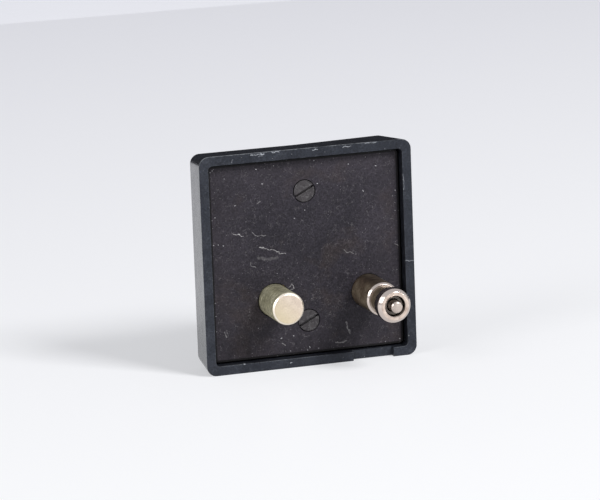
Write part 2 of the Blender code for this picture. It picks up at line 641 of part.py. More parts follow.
def contact_pin():
    flange = BUSH_BORE - ROUND_GAP
    turned("contact_pin", BRIGHT_NICKEL, solid_profile(
        [(CONTACT_TAIL_RADIUS, CONTACT_FLANGE_BACK + CONTACT_TAIL),
         (CONTACT_TAIL_RADIUS, CONTACT_FLANGE_BACK), (flange, CONTACT_FLANGE_BACK),
         (flange, CONTACT_FLANGE_FRONT), (CONTACT_RADIUS, CONTACT_FLANGE_FRONT),
         (CONTACT_RADIUS, CONTACT_TIP + CONTACT_CHAMFER),
         (CONTACT_RADIUS - CONTACT_CHAMFER, CONTACT_TIP)]), PLUG_X, PIN_HEIGHT, SMALL_SIDES)
    half = CONTACT_SPRING_WIRE / 2
    coil = coil_points((CONTACT_TAIL_RADIUS + BUSH_BORE) / 2,
                       CONTACT_FLANGE_BACK + FACE_GAP + half, TERMINAL_DEPTH - FACE_GAP - half,
                       CONTACT_SPRING_TURNS, CONTACT_SPRING_WIRE)
    wire("contact_pin_spring", STEEL, coil, half, 1, (PLUG_X, 0, PIN_HEIGHT))
    print("contact pin spring, least gap to itself: %.2f mm"
          % (least_gap(coil, CONTACT_SPRING_WIRE) / MM))


def centre_terminal():
    """The brass plug that closes the insulator, with a lug for the lead."""
    stem = BUSH_BORE - ROUND_GAP
    terminal = turned("centre_terminal", BRASS, solid_profile(
        [(TERMINAL_FLANGE_RADIUS, TERMINAL_FRONT + TERMINAL_FLANGE),
         (TERMINAL_FLANGE_RADIUS, TERMINAL_FRONT), (stem, TERMINAL_FRONT),
         (stem, TERMINAL_DEPTH)]), PLUG_X, PIN_HEIGHT, SMALL_SIDES)
    lug = block("terminal_lug", None,
                (PLUG_X - TERMINAL_LUG_WIDTH / 2, PLUG_X + TERMINAL_LUG_WIDTH / 2),
                (TERMINAL_FRONT, TERMINAL_FRONT + TERMINAL_FLANGE),
                (PIN_HEIGHT, PIN_HEIGHT + TERMINAL_LUG))
    join(terminal, [lug])


def release_button():
    """The button: a crown on a skirt, with a post that holds the tapered cable socket."""
    skirt = BUTTON_RADIUS - BUTTON_SKIRT_WALL
    edge = CROWN_TOP - 0.5 * MM
    socket_face = CROWN_TOP - BUTTON_DISH
    outer = [(SOCKET_MOUTH_RADIUS + BUTTON_DISH, socket_face),
             (BUTTON_RADIUS - 1.6 * MM, CROWN_TOP), (BUTTON_RADIUS - 0.5 * MM, CROWN_TOP),
             (BUTTON_RADIUS, edge), (BUTTON_RADIUS, BUTTON_FLANGE_FRONT + BUTTON_FLANGE),
             (BUTTON_FLANGE_RADIUS, BUTTON_FLANGE_FRONT + BUTTON_FLANGE),
             (BUTTON_FLANGE_RADIUS, BUTTON_FLANGE_FRONT)]
    inner = [(skirt, BUTTON_FLANGE_FRONT), (skirt, CROWN_UNDERSIDE),
             (BUTTON_POST_RADIUS, CROWN_UNDERSIDE), (BUTTON_POST_RADIUS, POST_END),
             (SOCKET_END_RADIUS, POST_END), (SOCKET_MOUTH_RADIUS, socket_face)]
    turned("release_button", BLACK_PLASTIC, tube_profile(outer, inner), BUTTON_X,
           BUTTON_HEIGHT, ring=True)
    half = BUTTON_SPRING_WIRE / 2
    coil = coil_points((skirt + BUTTON_POST_RADIUS) / 2, GUIDE_BUSH_TOP + FACE_GAP + half,
                       CROWN_UNDERSIDE - FACE_GAP - half, BUTTON_SPRING_TURNS, BUTTON_SPRING_WIRE)
    wire("button_spring", STEEL, coil, half, 1, (BUTTON_X, 0, BUTTON_HEIGHT))
    print("button spring, least gap to itself: %.2f mm"
          % (least_gap(coil, BUTTON_SPRING_WIRE) / MM))


def plunger():
    turned("plunger", STEEL, solid_profile(
        [(PLUNGER_HEAD_RADIUS, PLUNGER_HEAD_UNDERSIDE + PLUNGER_HEAD),
         (PLUNGER_HEAD_RADIUS, PLUNGER_HEAD_UNDERSIDE), (PLUNGER_RADIUS, PLUNGER_HEAD_UNDERSIDE),
         (PLUNGER_RADIUS, PLUNGER_END)]), BUTTON_X, BUTTON_HEIGHT, SMALL_SIDES)


def guide_bush():
    outer = [(GUIDE_BUSH_FLANGE_RADIUS, GUIDE_BUSH_TOP), (GUIDE_BUSH_FLANGE_RADIUS, GUIDE_BUSH_SEAT),
             (GUIDE_BUSH_RADIUS, GUIDE_BUSH_SEAT), (GUIDE_BUSH_RADIUS, TURRET_FLOOR_INSIDE)]
    inner = [(GUIDE_BUSH_BORE, TURRET_FLOOR_INSIDE), (GUIDE_BUSH_BORE, GUIDE_BUSH_STEP),
             (GUIDE_BUSH_COUNTERBORE, GUIDE_BUSH_STEP), (GUIDE_BUSH_COUNTERBORE, GUIDE_BUSH_TOP)]
    turned("plunger_bush", BRASS, tube_profile(outer, inner), BUTTON_X, BUTTON_HEIGHT,
           SMALL_SIDES, True)


def button_collar():
    flange = TURRET_RADIUS - COLLAR_OVERHANG
    bore = BUTTON_RADIUS + ROUND_GAP
    sleeve = TURRET_BORE - ROUND_GAP
    outer = [(flange - COLLAR_BEVEL, COLLAR_TOP), (flange, COLLAR_TOP - COLLAR_BEVEL),
             (flange, COLLAR_SEAT), (sleeve, COLLAR_SEAT), (sleeve, SLEEVE_END)]
    inner = [(bore, SLEEVE_END), (bore, COLLAR_TOP - COLLAR_BEVEL),
             (bore + COLLAR_BEVEL, COLLAR_TOP)]
    turned("button_collar", BRIGHT_NICKEL, tube_profile(outer, inner), BUTTON_X, BUTTON_HEIGHT,
           ring=True)


def switch_screw_places():
    reach = SWITCH_BASE_WIDTH / 2 - SWITCH_SCREW_HEAD_RADIUS - ROUND_GAP
    return ((BUTTON_X - reach, BUTTON_HEIGHT + SWITCH_SCREW_HEAD_RADIUS),
            (BUTTON_X + reach, BUTTON_HEIGHT - SWITCH_SCREW_HEAD_RADIUS))


def rivet_places():
    return [(BUTTON_X + side * RIVET_SPACING / 2, LEAF_HINGE) for side in (-1, 1)]


def switch_base():
    half = SWITCH_BASE_WIDTH / 2
    base = block("switch_base", BROWN_BOARD, (BUTTON_X - half, BUTTON_X + half),
                 (BASE_FRONT, BASE_BACK), (SWITCH_BOTTOM, SWITCH_TOP))
    for i, (x, height) in enumerate(switch_screw_places()):
        cut(base, cylinder_cutter("base_screw_hole_%d" % i, SWITCH_SCREW_RADIUS + ROUND_GAP,
                                  0, CASE_DEPTH, x, height, TINY_SIDES))
    for i, (x, height) in enumerate(rivet_places() + [fixed_rivet_place()]):
        cut(base, cylinder_cutter("base_rivet_hole_%d" % i, RIVET_RADIUS + ROUND_GAP, 0,
                                  CASE_DEPTH, x, height, TINY_SIDES))


def rivet_profile(head_front, end):
    return solid_profile([(RIVET_HEAD_RADIUS, head_front + RIVET_HEAD),
                          (RIVET_HEAD_RADIUS, head_front), (RIVET_RADIUS, head_front),
                          (RIVET_RADIUS, end)])


def fixed_rivet_place():
    return (BUTTON_X, BUTTON_HEIGHT + DOME_OFFSET)


def fixed_contact():
    """A strip on the base, with a contact dome under the leaf's and a solder end below."""
    x, height = fixed_rivet_place()
    strip = block("fixed_contact", BRONZE, (x - STRIP_WIDTH / 2, x + STRIP_WIDTH / 2),
                  (FIXED_FRONT, FIXED_BACK),
                  (FIXED_STRIP_END, height + RIVET_HEAD_RADIUS + STRIP_MARGIN))
    dome = turned("fixed_contact_dome", None, solid_profile(
        [(DOME_RADIUS / 2, FIXED_BACK + DOME_HEIGHT),
         (DOME_RADIUS, FIXED_FRONT + STRIP_THICKNESS / 2)]),
        BUTTON_X, BUTTON_HEIGHT - DOME_OFFSET, TINY_SIDES)
    join(strip, [dome])
    cut(strip, cylinder_cutter("fixed_contact_hole", RIVET_RADIUS + ROUND_GAP, 0, CASE_DEPTH,
                               x, height, TINY_SIDES))
    turned("fixed_contact_rivet", BRASS,
           rivet_profile(FIXED_BACK + FACE_GAP, BASE_FRONT + FACE_GAP), x, height, TINY_SIDES)


def leaf_spacer():
    """The block that holds the leaf's root off the base."""
    half = LEAF_ROOT_WIDTH / 2
    root = LEAF_ROOT_LENGTH / 2
    spacer = block("leaf_spacer", BROWN_BOARD, (BUTTON_X - half, BUTTON_X + half),
                   (BASE_BACK + FACE_GAP, LEAF_FRONT - LEAF_GAP),
                   (LEAF_HINGE - root, LEAF_HINGE + root))
    for i, (x, height) in enumerate(rivet_places()):
        cut(spacer, cylinder_cutter("spacer_hole_%d" % i, RIVET_RADIUS + ROUND_GAP, 0,
                                    CASE_DEPTH, x, height, TINY_SIDES))


def contact_leaf():
    """The moving contact: a springy blade from a wide root, with a dome near its tip. Its
    origin lies on the line that it bends about."""
    root_half = LEAF_ROOT_WIDTH / 2
    blade_half = STRIP_WIDTH / 2
    root = LEAF_ROOT_LENGTH / 2
    tip = -(LEAF_ARM + LEAF_TIP)
    neck = -root - LEAF_SHOULDER
    outline = [(-root_half, root), (-root_half, -root), (-blade_half, neck), (-blade_half, tip),
               (blade_half, tip), (blade_half, neck), (root_half, -root),
               (root_half, root - LUG_WIDTH), (root_half + LUG_WIDTH, root - LUG_WIDTH),
               (root_half + LUG_WIDTH, root)]
    leaf = flat_piece("contact_leaf", BRONZE, [outline], LEAF_FRONT, STRIP_THICKNESS,
                      BUTTON_X, LEAF_HINGE)
    dome = turned("leaf_dome", None, solid_profile(
        [(DOME_RADIUS, LEAF_FRONT + STRIP_THICKNESS / 2),
         (DOME_RADIUS / 2, LEAF_FRONT - DOME_HEIGHT)]),
        BUTTON_X, BUTTON_HEIGHT - DOME_OFFSET, TINY_SIDES)
    join(leaf, [dome])
    for i, (x, height) in enumerate(rivet_places()):
        cut(leaf, cylinder_cutter("leaf_hole_%d" % i, RIVET_RADIUS + FACE_GAP, 0, CASE_DEPTH,
                                  x, height, TINY_SIDES))


def leaf_rivets():
    """The two rivets through the leaf's root, the spacer and the base."""
    profile = rivet_profile(LEAF_BACK + FACE_GAP, BASE_FRONT + FACE_GAP)
    for side, (x, height) in zip(SIDE_NAMES, rivet_places()):
        turned("leaf_rivet_" + side, BRASS, profile, x, height, TINY_SIDES)


def switch_screws():
    """The two small screws that hold the switch on the plate."""
    head = BASE_BACK + FACE_GAP
    profile = solid_profile([(SWITCH_SCREW_HEAD_RADIUS, head + SWITCH_SCREW_HEAD),
                             (SWITCH_SCREW_HEAD_RADIUS, head), (SWITCH_SCREW_RADIUS, head),
                             (SWITCH_SCREW_RADIUS, PLATE_BACK - SWITCH_SCREW_BITE)])
    for side, (x, height) in zip(SIDE_NAMES, switch_screw_places()):
        turned("switch_screw_" + side, STEEL, profile, x, height, TINY_SIDES)


def leads():
    """The two insulated leads, from the plug's tags to the switch's strips."""
    lug_depth = TERMINAL_FRONT + TERMINAL_FLANGE / 2
    strip_depth = BASE_BACK + ROUND_GAP + LEAD_RADIUS
    lug_end = PIN_HEIGHT + TERMINAL_LUG + FACE_GAP
    strip_end = FIXED_STRIP_END - FACE_GAP
    wire("signal_lead", RED_LEAD, smooth_route([
        (PLUG_X, lug_depth, lug_end),
        (PLUG_X, lug_depth - 0.2 * MM, lug_end + 1.3 * MM),
        ((PLUG_X + BUTTON_X) / 2, (lug_depth + strip_depth) / 2, (lug_end + strip_end) / 2),
        (BUTTON_X, strip_depth + 0.1 * MM, strip_end - 1.3 * MM),
        (BUTTON_X, strip_depth, strip_end)]), LEAD_RADIUS, 2)
    tail = (PLUG_X + TAG_TAIL_REACH * math.cos(TAG_ANGLE),
            PIN_HEIGHT + TAG_TAIL_REACH * math.sin(TAG_ANGLE))
    tag_depth = TAG_FRONT + TAG_THICKNESS / 2
    leaf_depth = (LEAF_FRONT + LEAF_BACK) / 2
    lane = BUTTON_X + SWITCH_BASE_WIDTH / 2 + LEAD_RADIUS + 3 * FACE_GAP
    leaf_lug = (BUTTON_X + LEAF_ROOT_WIDTH / 2 + LUG_WIDTH + FACE_GAP,
                LEAF_HINGE + (LEAF_ROOT_LENGTH - LUG_WIDTH) / 2)
    wire("ground_lead", BLACK_LEAD, smooth_route([
        (tail[0] + 0.1 * MM, tag_depth + LEAD_RADIUS, tail[1] + FACE_GAP + LEAD_RADIUS),
        (lane, tag_depth + 1.6 * MM, tail[1] + 3.0 * MM),
        (lane, (tag_depth + leaf_depth) / 2, (tail[1] + leaf_lug[1]) / 2),
        (lane, leaf_depth - 0.8 * MM, leaf_lug[1] - 3.0 * MM),
        (leaf_lug[0] + 0.7 * MM, leaf_depth - 0.1 * MM, leaf_lug[1] - 0.2 * MM),
        (leaf_lug[0], leaf_depth, leaf_lug[1])]), LEAD_RADIUS, 2)


def main():
    case()
    base_plate()
    cover_screws()
    threaded_inserts()
    guide_pin()
    plug_sleeve()
    ground_tag()
    plug_insulator()
    contact_pin()
    centre_terminal()
    release_button()
    plunger()
    guide_bush()
    button_collar()
    switch_base()
    fixed_contact()
    leaf_spacer()
    contact_leaf()
    leaf_rivets()
    switch_screws()
    leads()
    print("rim plane at Y %.2f mm, crown at depth %.2f mm, plunger end at %.2f mm"
          % (RIM_Y / MM, CROWN_TOP / MM, PLUNGER_END / MM))
    print("leaf turns %.2f degrees about height %.2f mm" % (math.degrees(LEAF_TURN), LEAF_HINGE / MM))


main()
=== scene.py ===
# %% [markdown]
# # A plug-in shutter release, as a lesson in Blender scripting
#
# The object is a small square black case, 45 mm across. Its open front holds a black plate
# with two pins that plug into a camera, and its sloping back carries a round release button.
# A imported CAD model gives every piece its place. This script gives the pieces that show a
# finer mesh, and every piece its finish. Each step says what the real piece is, how it could
# be made, and why this way was chosen.

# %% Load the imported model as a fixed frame
import math

import bmesh
import bpy
from mathutils import Matrix, Vector


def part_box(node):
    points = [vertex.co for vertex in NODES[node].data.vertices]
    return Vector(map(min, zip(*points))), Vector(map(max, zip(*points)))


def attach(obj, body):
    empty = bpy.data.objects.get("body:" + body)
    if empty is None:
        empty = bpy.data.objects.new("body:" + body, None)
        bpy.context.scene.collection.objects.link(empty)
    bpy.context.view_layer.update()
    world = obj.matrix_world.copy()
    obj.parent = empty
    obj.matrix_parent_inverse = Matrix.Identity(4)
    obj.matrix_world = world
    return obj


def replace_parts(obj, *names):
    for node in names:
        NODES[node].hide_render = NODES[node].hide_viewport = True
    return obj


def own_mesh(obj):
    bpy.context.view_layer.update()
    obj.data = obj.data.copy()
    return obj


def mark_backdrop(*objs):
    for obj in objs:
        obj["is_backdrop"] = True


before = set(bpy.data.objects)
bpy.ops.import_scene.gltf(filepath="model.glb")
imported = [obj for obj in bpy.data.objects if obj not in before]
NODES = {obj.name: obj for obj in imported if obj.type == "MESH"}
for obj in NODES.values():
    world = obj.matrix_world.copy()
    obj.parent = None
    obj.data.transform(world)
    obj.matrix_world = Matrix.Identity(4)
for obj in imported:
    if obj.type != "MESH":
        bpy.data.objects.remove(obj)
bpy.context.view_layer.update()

print("pieces in the frame:", len(NODES))

# %% [markdown]
# ## Units and places
#
# A maker's drawing of this object is in millimetres, and Blender works in metres, so every
# size below is written as a number of millimetres times MM. A place in depth is counted from
# the plane of the rim towards the back, as on the drawing, and `at_depth` turns it into Y.
# Sizes that the frame already holds are read from it, so that they can't drift apart.

# %% Sizes read from the frame
MM = 0.001
case_low, case_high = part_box("case")
plate_low, plate_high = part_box("base_plate")
HALF = (case_high.x - case_low.x) / 2
MIDDLE = (case_low.z + case_high.z) / 2
RIM_Y = case_low.y


def at_depth(depth):
    """The Y of a plane this far behind the rim."""
    return RIM_Y + depth


def middle_of(node):
    """The centre of a node's box."""
    low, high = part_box(node)
    return (low + high) / 2


def half_width(node):
    low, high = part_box(node)
    return (high.x - low.x) / 2


print("case half width %.2f mm, rim at Y %.2f mm" % (HALF / MM, RIM_Y / MM))

# %% [markdown]
# ## The camera
#
# The photograph was taken from about 0.8 m with a long lens, a little above the object and to
# its left, with the camera rolled by a few degrees. Perspective tells the distance: the rim's
# four corners and the two pins only line up for one set of angles. The camera is made first,
# because it decides which details are worth making.

# %% Camera
SENSOR_WIDTH = 36.0
PICTURE_WIDTH, PICTURE_HEIGHT = 600, 500
FOCAL_PIXELS = 3943.0
CAMERA_YAW, CAMERA_PITCH, CAMERA_ROLL = 18.58, 10.52, 5.69
CAMERA_DISTANCE = 797.9 * MM
RIM_CENTRE_PIXEL = (309.4, 257.5)
CLIP_NEAR, CLIP_FAR = 0.01, 20


def add_camera():
    """A camera that sees the centre of the rim at its pixel."""
    turn = (Matrix.Rotation(math.radians(CAMERA_YAW), 3, "Y")
            @ Matrix.Rotation(math.radians(CAMERA_PITCH), 3, "X")
            @ Matrix.Rotation(math.radians(CAMERA_ROLL), 3, "Z"))
    shift_right = (RIM_CENTRE_PIXEL[0] - PICTURE_WIDTH / 2) / FOCAL_PIXELS * CAMERA_DISTANCE
    shift_down = (RIM_CENTRE_PIXEL[1] - PICTURE_HEIGHT / 2) / FOCAL_PIXELS * CAMERA_DISTANCE
    rim_seen = Vector((shift_right, -shift_down, -CAMERA_DISTANCE))
    stand_up = Matrix(((1, 0, 0), (0, 0, -1), (0, 1, 0)))
    rim_centre = Vector((0, RIM_Y, MIDDLE))
    camera = bpy.data.objects.new("camera", bpy.data.cameras.new("camera"))
    camera.data.sensor_width = SENSOR_WIDTH
    camera.data.lens = FOCAL_PIXELS * SENSOR_WIDTH / PICTURE_WIDTH
    camera.data.clip_start, camera.data.clip_end = CLIP_NEAR, CLIP_FAR
    aimed = stand_up @ turn.transposed()
    camera.matrix_world = Matrix.Translation(rim_centre + aimed @ -rim_seen) @ aimed.to_4x4()
    bpy.context.scene.collection.objects.link(camera)
    bpy.context.scene.camera = camera
    return camera


camera = add_camera()
print("lens %.1f mm, camera at %s mm" % (camera.data.lens,
                                         [round(v / MM) for v in camera.location]))

# %% [markdown]
# ## Tools for the meshes
#
# Nearly every piece here is either turned on a lathe or moulded square, so two makers cover
# them: one spins a profile, the other bevels the long edges of a cube. A real edge is never
# sharp: it catches a thin line of light, and without that line a render looks like a drawing.
# So the sharp edges of each finished mesh are bevelled, most of them by about a tenth of a
# millimetre.

# %% Mesh helpers
WELD = 0.0001 * MM
SHARP = math.radians(32)
FLAT = math.radians(0.5)
TURN_STEPS = 96


def finish_mesh(name, bm):
    """Turns a bmesh into an object at the origin, shaded smooth between its sharp edges."""
    mesh = bpy.data.meshes.new(name)
    bm.to_mesh(mesh)
    bm.free()
    mesh.shade_smooth()
    mesh.set_sharp_from_angle(angle=SHARP)
    piece = bpy.data.objects.new(name, mesh)
    bpy.context.scene.collection.objects.link(piece)
    return piece


def count_faces(*pieces):
    for piece in pieces:
        print("%s: %d faces" % (piece.name, len(piece.data.polygons)))


def weigh_normals(piece):
    """Keeps flat faces flat in the shading, and lets only the bevels between them turn."""
    change = piece.modifiers.new("weighted normals", "WEIGHTED_NORMAL")
    change.keep_sharp = True
    change.weight = 100
    return piece


def in_front_of(depth):
    """A test for edges that lie wholly in front of a plane."""
    return lambda edge: all(vert.co.y < at_depth(depth) for vert in edge.verts)


def behind(depth):
    return lambda edge: all(vert.co.y > at_depth(depth) for vert in edge.verts)


def soften(bm, width, segments=3, angle=SHARP, keep=lambda edge: True):
    """Bevels the edges that are sharper than an angle, and that `keep` lets through."""
    edges = [edge for edge in bm.edges
             if len(edge.link_faces) == 2 and edge.calc_face_angle(0) > angle and keep(edge)]
    bmesh.ops.bevel(bm, geom=edges, offset=width, offset_type="OFFSET", affect="EDGES",
                    segments=segments, profile=0.5, material=-1, clamp_overlap=True)


def turned(profile, axis, steps=TURN_STEPS, closed=False):
    """A bmesh spun round a line along Y, from (radius, depth) points of its profile."""
    bm = bmesh.new()
    ring = [bm.verts.new((axis.x + radius, at_depth(depth), axis.z)) for radius, depth in profile]
    pairs = list(zip(ring, ring[1:])) + ([(ring[-1], ring[0])] if closed else [])
    edges = [bm.edges.new(pair) for pair in pairs]
    bmesh.ops.spin(bm, geom=ring + edges, cent=(axis.x, 0, axis.z), axis=(0, 1, 0),
                   angle=2 * math.pi, steps=steps, use_merge=True)
    bmesh.ops.remove_doubles(bm, verts=bm.verts, dist=WELD)
    bmesh.ops.recalc_face_normals(bm, faces=bm.faces)
    return bm


def block(size, centre):
    """A bmesh of a plain block round a centre given as (x, depth, z)."""
    bm = bmesh.new()
    bmesh.ops.create_cube(bm, size=1)
    bmesh.ops.scale(bm, vec=size, verts=bm.verts)
    bmesh.ops.translate(bm, vec=(centre[0], at_depth(centre[1]), centre[2]), verts=bm.verts)
    return bm


def box_block(low, high):
    """A plain block between two corners given as (x, depth, z)."""
    return block([b - a for a, b in zip(low, high)], [(a + b) / 2 for a, b in zip(low, high)])


def square_block(half, front, back, corner, corner_steps=10):
    """A bmesh of a square slab whose four long edges are rounded."""
    bm = block((2 * half, back - front, 2 * half), (0, (front + back) / 2, MIDDLE))
    long_edges = [e for e in bm.edges if abs(e.verts[0].co.y - e.verts[1].co.y) > WELD]
    bmesh.ops.bevel(bm, geom=long_edges, offset=corner, offset_type="OFFSET", affect="EDGES",
                    segments=corner_steps, profile=0.5, material=-1, clamp_overlap=True)
    return bm


def combined(bm, others, operation):
    """A bmesh with others joined to it or cut from it, by boolean modifiers."""
    base = finish_mesh("combined", bm)
    helpers = [finish_mesh("helper", other) for other in others]
    for helper in helpers:
        change = base.modifiers.new("change", "BOOLEAN")
        change.object = helper
        change.operation = operation
        change.solver = "MANIFOLD"
    seen = base.evaluated_get(bpy.context.evaluated_depsgraph_get())
    result = bmesh.new()
    result.from_mesh(seen.to_mesh())
    for item in [base] + helpers:
        bpy.data.meshes.remove(item.data)
    bmesh.ops.remove_doubles(result, verts=result.verts, dist=WELD)
    bmesh.ops.dissolve_limit(result, angle_limit=FLAT, use_dissolve_boundaries=False,
                             verts=result.verts, edges=result.edges)
    return result


# %% [markdown]
# ## The case
#
# The case is one moulding in hard black plastic. Its walls lean in towards the back so that it
# leaves its mould, and the right half of the back slopes up to a low round turret. One could
# model it from a plane by extruding, but the drawing is a list of simple bodies, so it is made
# like one: a drafted slab, a turret joined on, and the pocket, cavity, notch and bores cut out.

# %% Case: the drafted slab with its ramp
CASE_CORNER = 2.05 * MM
CASE_DEPTH = 9.1 * MM
CASE_DRAFT = 0.084
RAMP_SLOPE = 0.165
BACK_EDGE = 0.35 * MM
RIM_WIDTH = 1.95 * MM
LEDGE_DEPTH = 3.7 * MM
LEDGE_WIDTH = 1.3 * MM
CAVITY_BACK = 7.5 * MM
POCKET_CORNER = 0.8 * MM
POCKET_HALF = HALF - RIM_WIDTH
CAVITY_HALF = POCKET_HALF - LEDGE_WIDTH


def lean_walls(bm, back_of):
    """Moves the rear points to the back's surface and draws them in by the draft."""
    for vert in bm.verts:
        if vert.co.y > at_depth(WELD):
            depth = back_of(vert.co.x)
            lean = (HALF - CASE_DRAFT * depth) / HALF
            depth = back_of(vert.co.x * lean)
            vert.co = (vert.co.x * lean, at_depth(depth), MIDDLE + (vert.co.z - MIDDLE) * lean)


def sloping_back(x):
    return CASE_DEPTH + RAMP_SLOPE * max(x, 0.0)


def case_slab():
    bm = square_block(HALF, 0, CASE_DEPTH, CASE_CORNER, corner_steps=12)
    bmesh.ops.bisect_plane(bm, geom=bm.verts[:] + bm.edges[:] + bm.faces[:], dist=WELD,
                           plane_co=(0, 0, 0), plane_no=(1, 0, 0))
    lean_walls(bm, sloping_back)
    soften(bm, BACK_EDGE, segments=4, keep=behind(CASE_DEPTH - WELD))
    return bm


# %% Case: turret, posts, pocket, cavity, notch and bores
button_axis = middle_of("release_button")
plug_axis = middle_of("plug_sleeve")
guide_axis = middle_of("guide_pin")
screw_axes = [middle_of("cover_screw_upper"), middle_of("cover_screw_lower")]
TURRET_RADIUS = half_width("button_collar") + 0.4 * MM
TURRET_BORE = 7.2 * MM
TURRET_TOP = case_high.y - RIM_Y
TURRET_FLOOR = 10.0 * MM
TURRET_EDGE = 0.3 * MM
FLOOR_THICKNESS = 1.3 * MM
BUSH_HOLE = 3.4 * MM
POST_RADIUS = 3.1 * MM
INSERT_HOLE = 2.1 * MM
NOTCH_WIDTH = 8.7 * MM
NOTCH_DEPTH = 1.2 * MM
NOTCH_OFFSET = 0.2 * MM
SWITCH_GAP = 0.3 * MM
OVERLAP = 0.3 * MM
FAR = 30 * MM


def disc(radius, front, back, axis, steps=TURN_STEPS):
    """A plain round body, as a cutter or a post."""
    return turned([(0, back), (radius, back), (radius, front), (0, front)], axis, steps)


def turret():
    foot = CAVITY_BACK + OVERLAP
    return turned([(0, TURRET_TOP), (TURRET_RADIUS - TURRET_EDGE, TURRET_TOP),
                   (TURRET_RADIUS, TURRET_TOP - TURRET_EDGE), (TURRET_RADIUS, foot), (0, foot)],
                  button_axis)


def cavity():
    return square_block(CAVITY_HALF, LEDGE_DEPTH - OVERLAP, CAVITY_BACK, CASE_CORNER)


def notch():
    middle = plug_axis.x + NOTCH_OFFSET
    return box_block((middle - NOTCH_WIDTH / 2, -FAR, -FAR),
                     (middle + NOTCH_WIDTH / 2, NOTCH_DEPTH, RIM_WIDTH + CASE_CORNER))


def switch_room():
    low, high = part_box("leaf_spacer")
    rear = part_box("leaf_rivet_left")[1].y - RIM_Y + SWITCH_GAP
    return box_block((low.x - SWITCH_GAP, LEDGE_DEPTH, low.z - SWITCH_GAP),
                     (high.x, rear, high.z + SWITCH_GAP))


# %% Case: the pieces put together
RIM_EDGE = 0.13 * MM
HOLE_STEPS = 48


def build_case():
    bm = combined(case_slab(), [turret()], "UNION")
    bm = combined(bm, [square_block(POCKET_HALF, -FAR, LEDGE_DEPTH, POCKET_CORNER), cavity()],
                  "DIFFERENCE")
    posts = [disc(POST_RADIUS, LEDGE_DEPTH, CAVITY_BACK + 0.5 * MM, axis, HOLE_STEPS)
             for axis in screw_axes]
    floor = disc(TURRET_BORE + 0.7 * MM, TURRET_FLOOR - FLOOR_THICKNESS,
                 TURRET_TOP - 1.5 * MM, button_axis)
    bm = combined(bm, posts + [floor], "UNION")
    holes = [disc(INSERT_HOLE, 0, CAVITY_BACK, axis, HOLE_STEPS) for axis in screw_axes]
    bores = [disc(TURRET_BORE, TURRET_FLOOR, FAR, button_axis),
             disc(BUSH_HOLE, LEDGE_DEPTH, FAR, button_axis)]
    bm = combined(bm, [switch_room()] + holes + bores + [notch()], "DIFFERENCE")
    soften(bm, RIM_EDGE, keep=in_front_of(WELD))
    return weigh_normals(finish_mesh("case_moulding", bm))


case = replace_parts(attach(build_case(), "housing"), "case")
count_faces(case)

# %% [markdown]
# ## The plate and its screws
#
# The plate is 1.6 mm sheet, blanked square and painted black, and lies in the case's pocket on
# a ledge. Two slotted screws with flat countersunk heads hold it. The holes are cut with spun
# cutters that are the screws' own shape plus a hair, so each head sits in a thin dark ring.

# %% Plate
PLATE_HALF = (plate_high.x - plate_low.x) / 2
PLATE_FRONT = plate_low.y - RIM_Y
PLATE_BACK = plate_high.y - RIM_Y
HEAD_RADIUS = half_width("cover_screw_upper")
HEAD_RIM = 0.25 * MM
HEAD_HEIGHT = 1.2 * MM
SHANK_RADIUS = 1.25 * MM
SCREW_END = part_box("cover_screw_upper")[1].y - RIM_Y
RING_GAP = 0.2 * MM
PLUG_SHANK = 3.45 * MM
PLATE_EDGE = 0.1 * MM
SWITCH_SCREW_HOLE = 0.8 * MM
SWITCH_SCREW_REACH = 0.5 * MM


def screw_profile(gap):
    """From the end of the shank to the middle of the head, grown by a gap all round."""
    return [(0, SCREW_END + gap), (SHANK_RADIUS + gap, SCREW_END + gap),
            (SHANK_RADIUS + gap, PLATE_FRONT + HEAD_HEIGHT),
            (HEAD_RADIUS + gap, PLATE_FRONT + HEAD_RIM),
            (HEAD_RADIUS + gap, PLATE_FRONT - gap * 5), (0, PLATE_FRONT - gap * 5)]


def build_plate():
    bm = square_block(PLATE_HALF, PLATE_FRONT, PLATE_BACK, POCKET_CORNER)
    cutters = [turned(screw_profile(RING_GAP), axis) for axis in screw_axes]
    cutters.append(disc(half_width("guide_pin") + RING_GAP, 0, CASE_DEPTH, guide_axis))
    cutters.append(disc(PLUG_SHANK + RING_GAP / 2, 0, CASE_DEPTH, plug_axis))
    for name in ("left", "right"):
        cutters.append(disc(SWITCH_SCREW_HOLE, PLATE_FRONT + SWITCH_SCREW_REACH, CASE_DEPTH,
                            middle_of("switch_screw_" + name), 32))
    bm = combined(bm, cutters, "DIFFERENCE")
    soften(bm, PLATE_EDGE, segments=2, keep=in_front_of(PLATE_FRONT + WELD))
    return weigh_normals(finish_mesh("mounting_plate", bm))


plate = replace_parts(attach(build_plate(), "housing"), "base_plate")
count_faces(plate)

# %% Screws
SLOT_WIDTH = 0.42 * MM
SLOT_DEPTH = 0.6 * MM
SLOT_TURN = math.radians(27)
SCREW_EDGE = 0.07 * MM


def build_screw(end, axis):
    bm = turned(screw_profile(0)[:4] + [(HEAD_RADIUS, PLATE_FRONT), (0, PLATE_FRONT)], axis)
    slot = box_block((-FAR, PLATE_FRONT - FAR, -SLOT_WIDTH / 2),
                     (FAR, PLATE_FRONT + SLOT_DEPTH, SLOT_WIDTH / 2))
    bmesh.ops.rotate(slot, cent=(0, 0, 0), verts=slot.verts,
                     matrix=Matrix.Rotation(-SLOT_TURN, 3, "Y"))
    bmesh.ops.translate(slot, vec=(axis.x, 0, axis.z), verts=slot.verts)
    bm = combined(bm, [slot], "DIFFERENCE")
    soften(bm, SCREW_EDGE, segments=2, keep=in_front_of(PLATE_FRONT + WELD))
    piece = weigh_normals(finish_mesh("plate_screw_" + end, bm))
    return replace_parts(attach(piece, "housing"), "cover_screw_" + end)


plate_screws = [build_screw(end, axis) for end, axis in zip(("upper", "lower"), screw_axes)]
count_faces(*plate_screws)

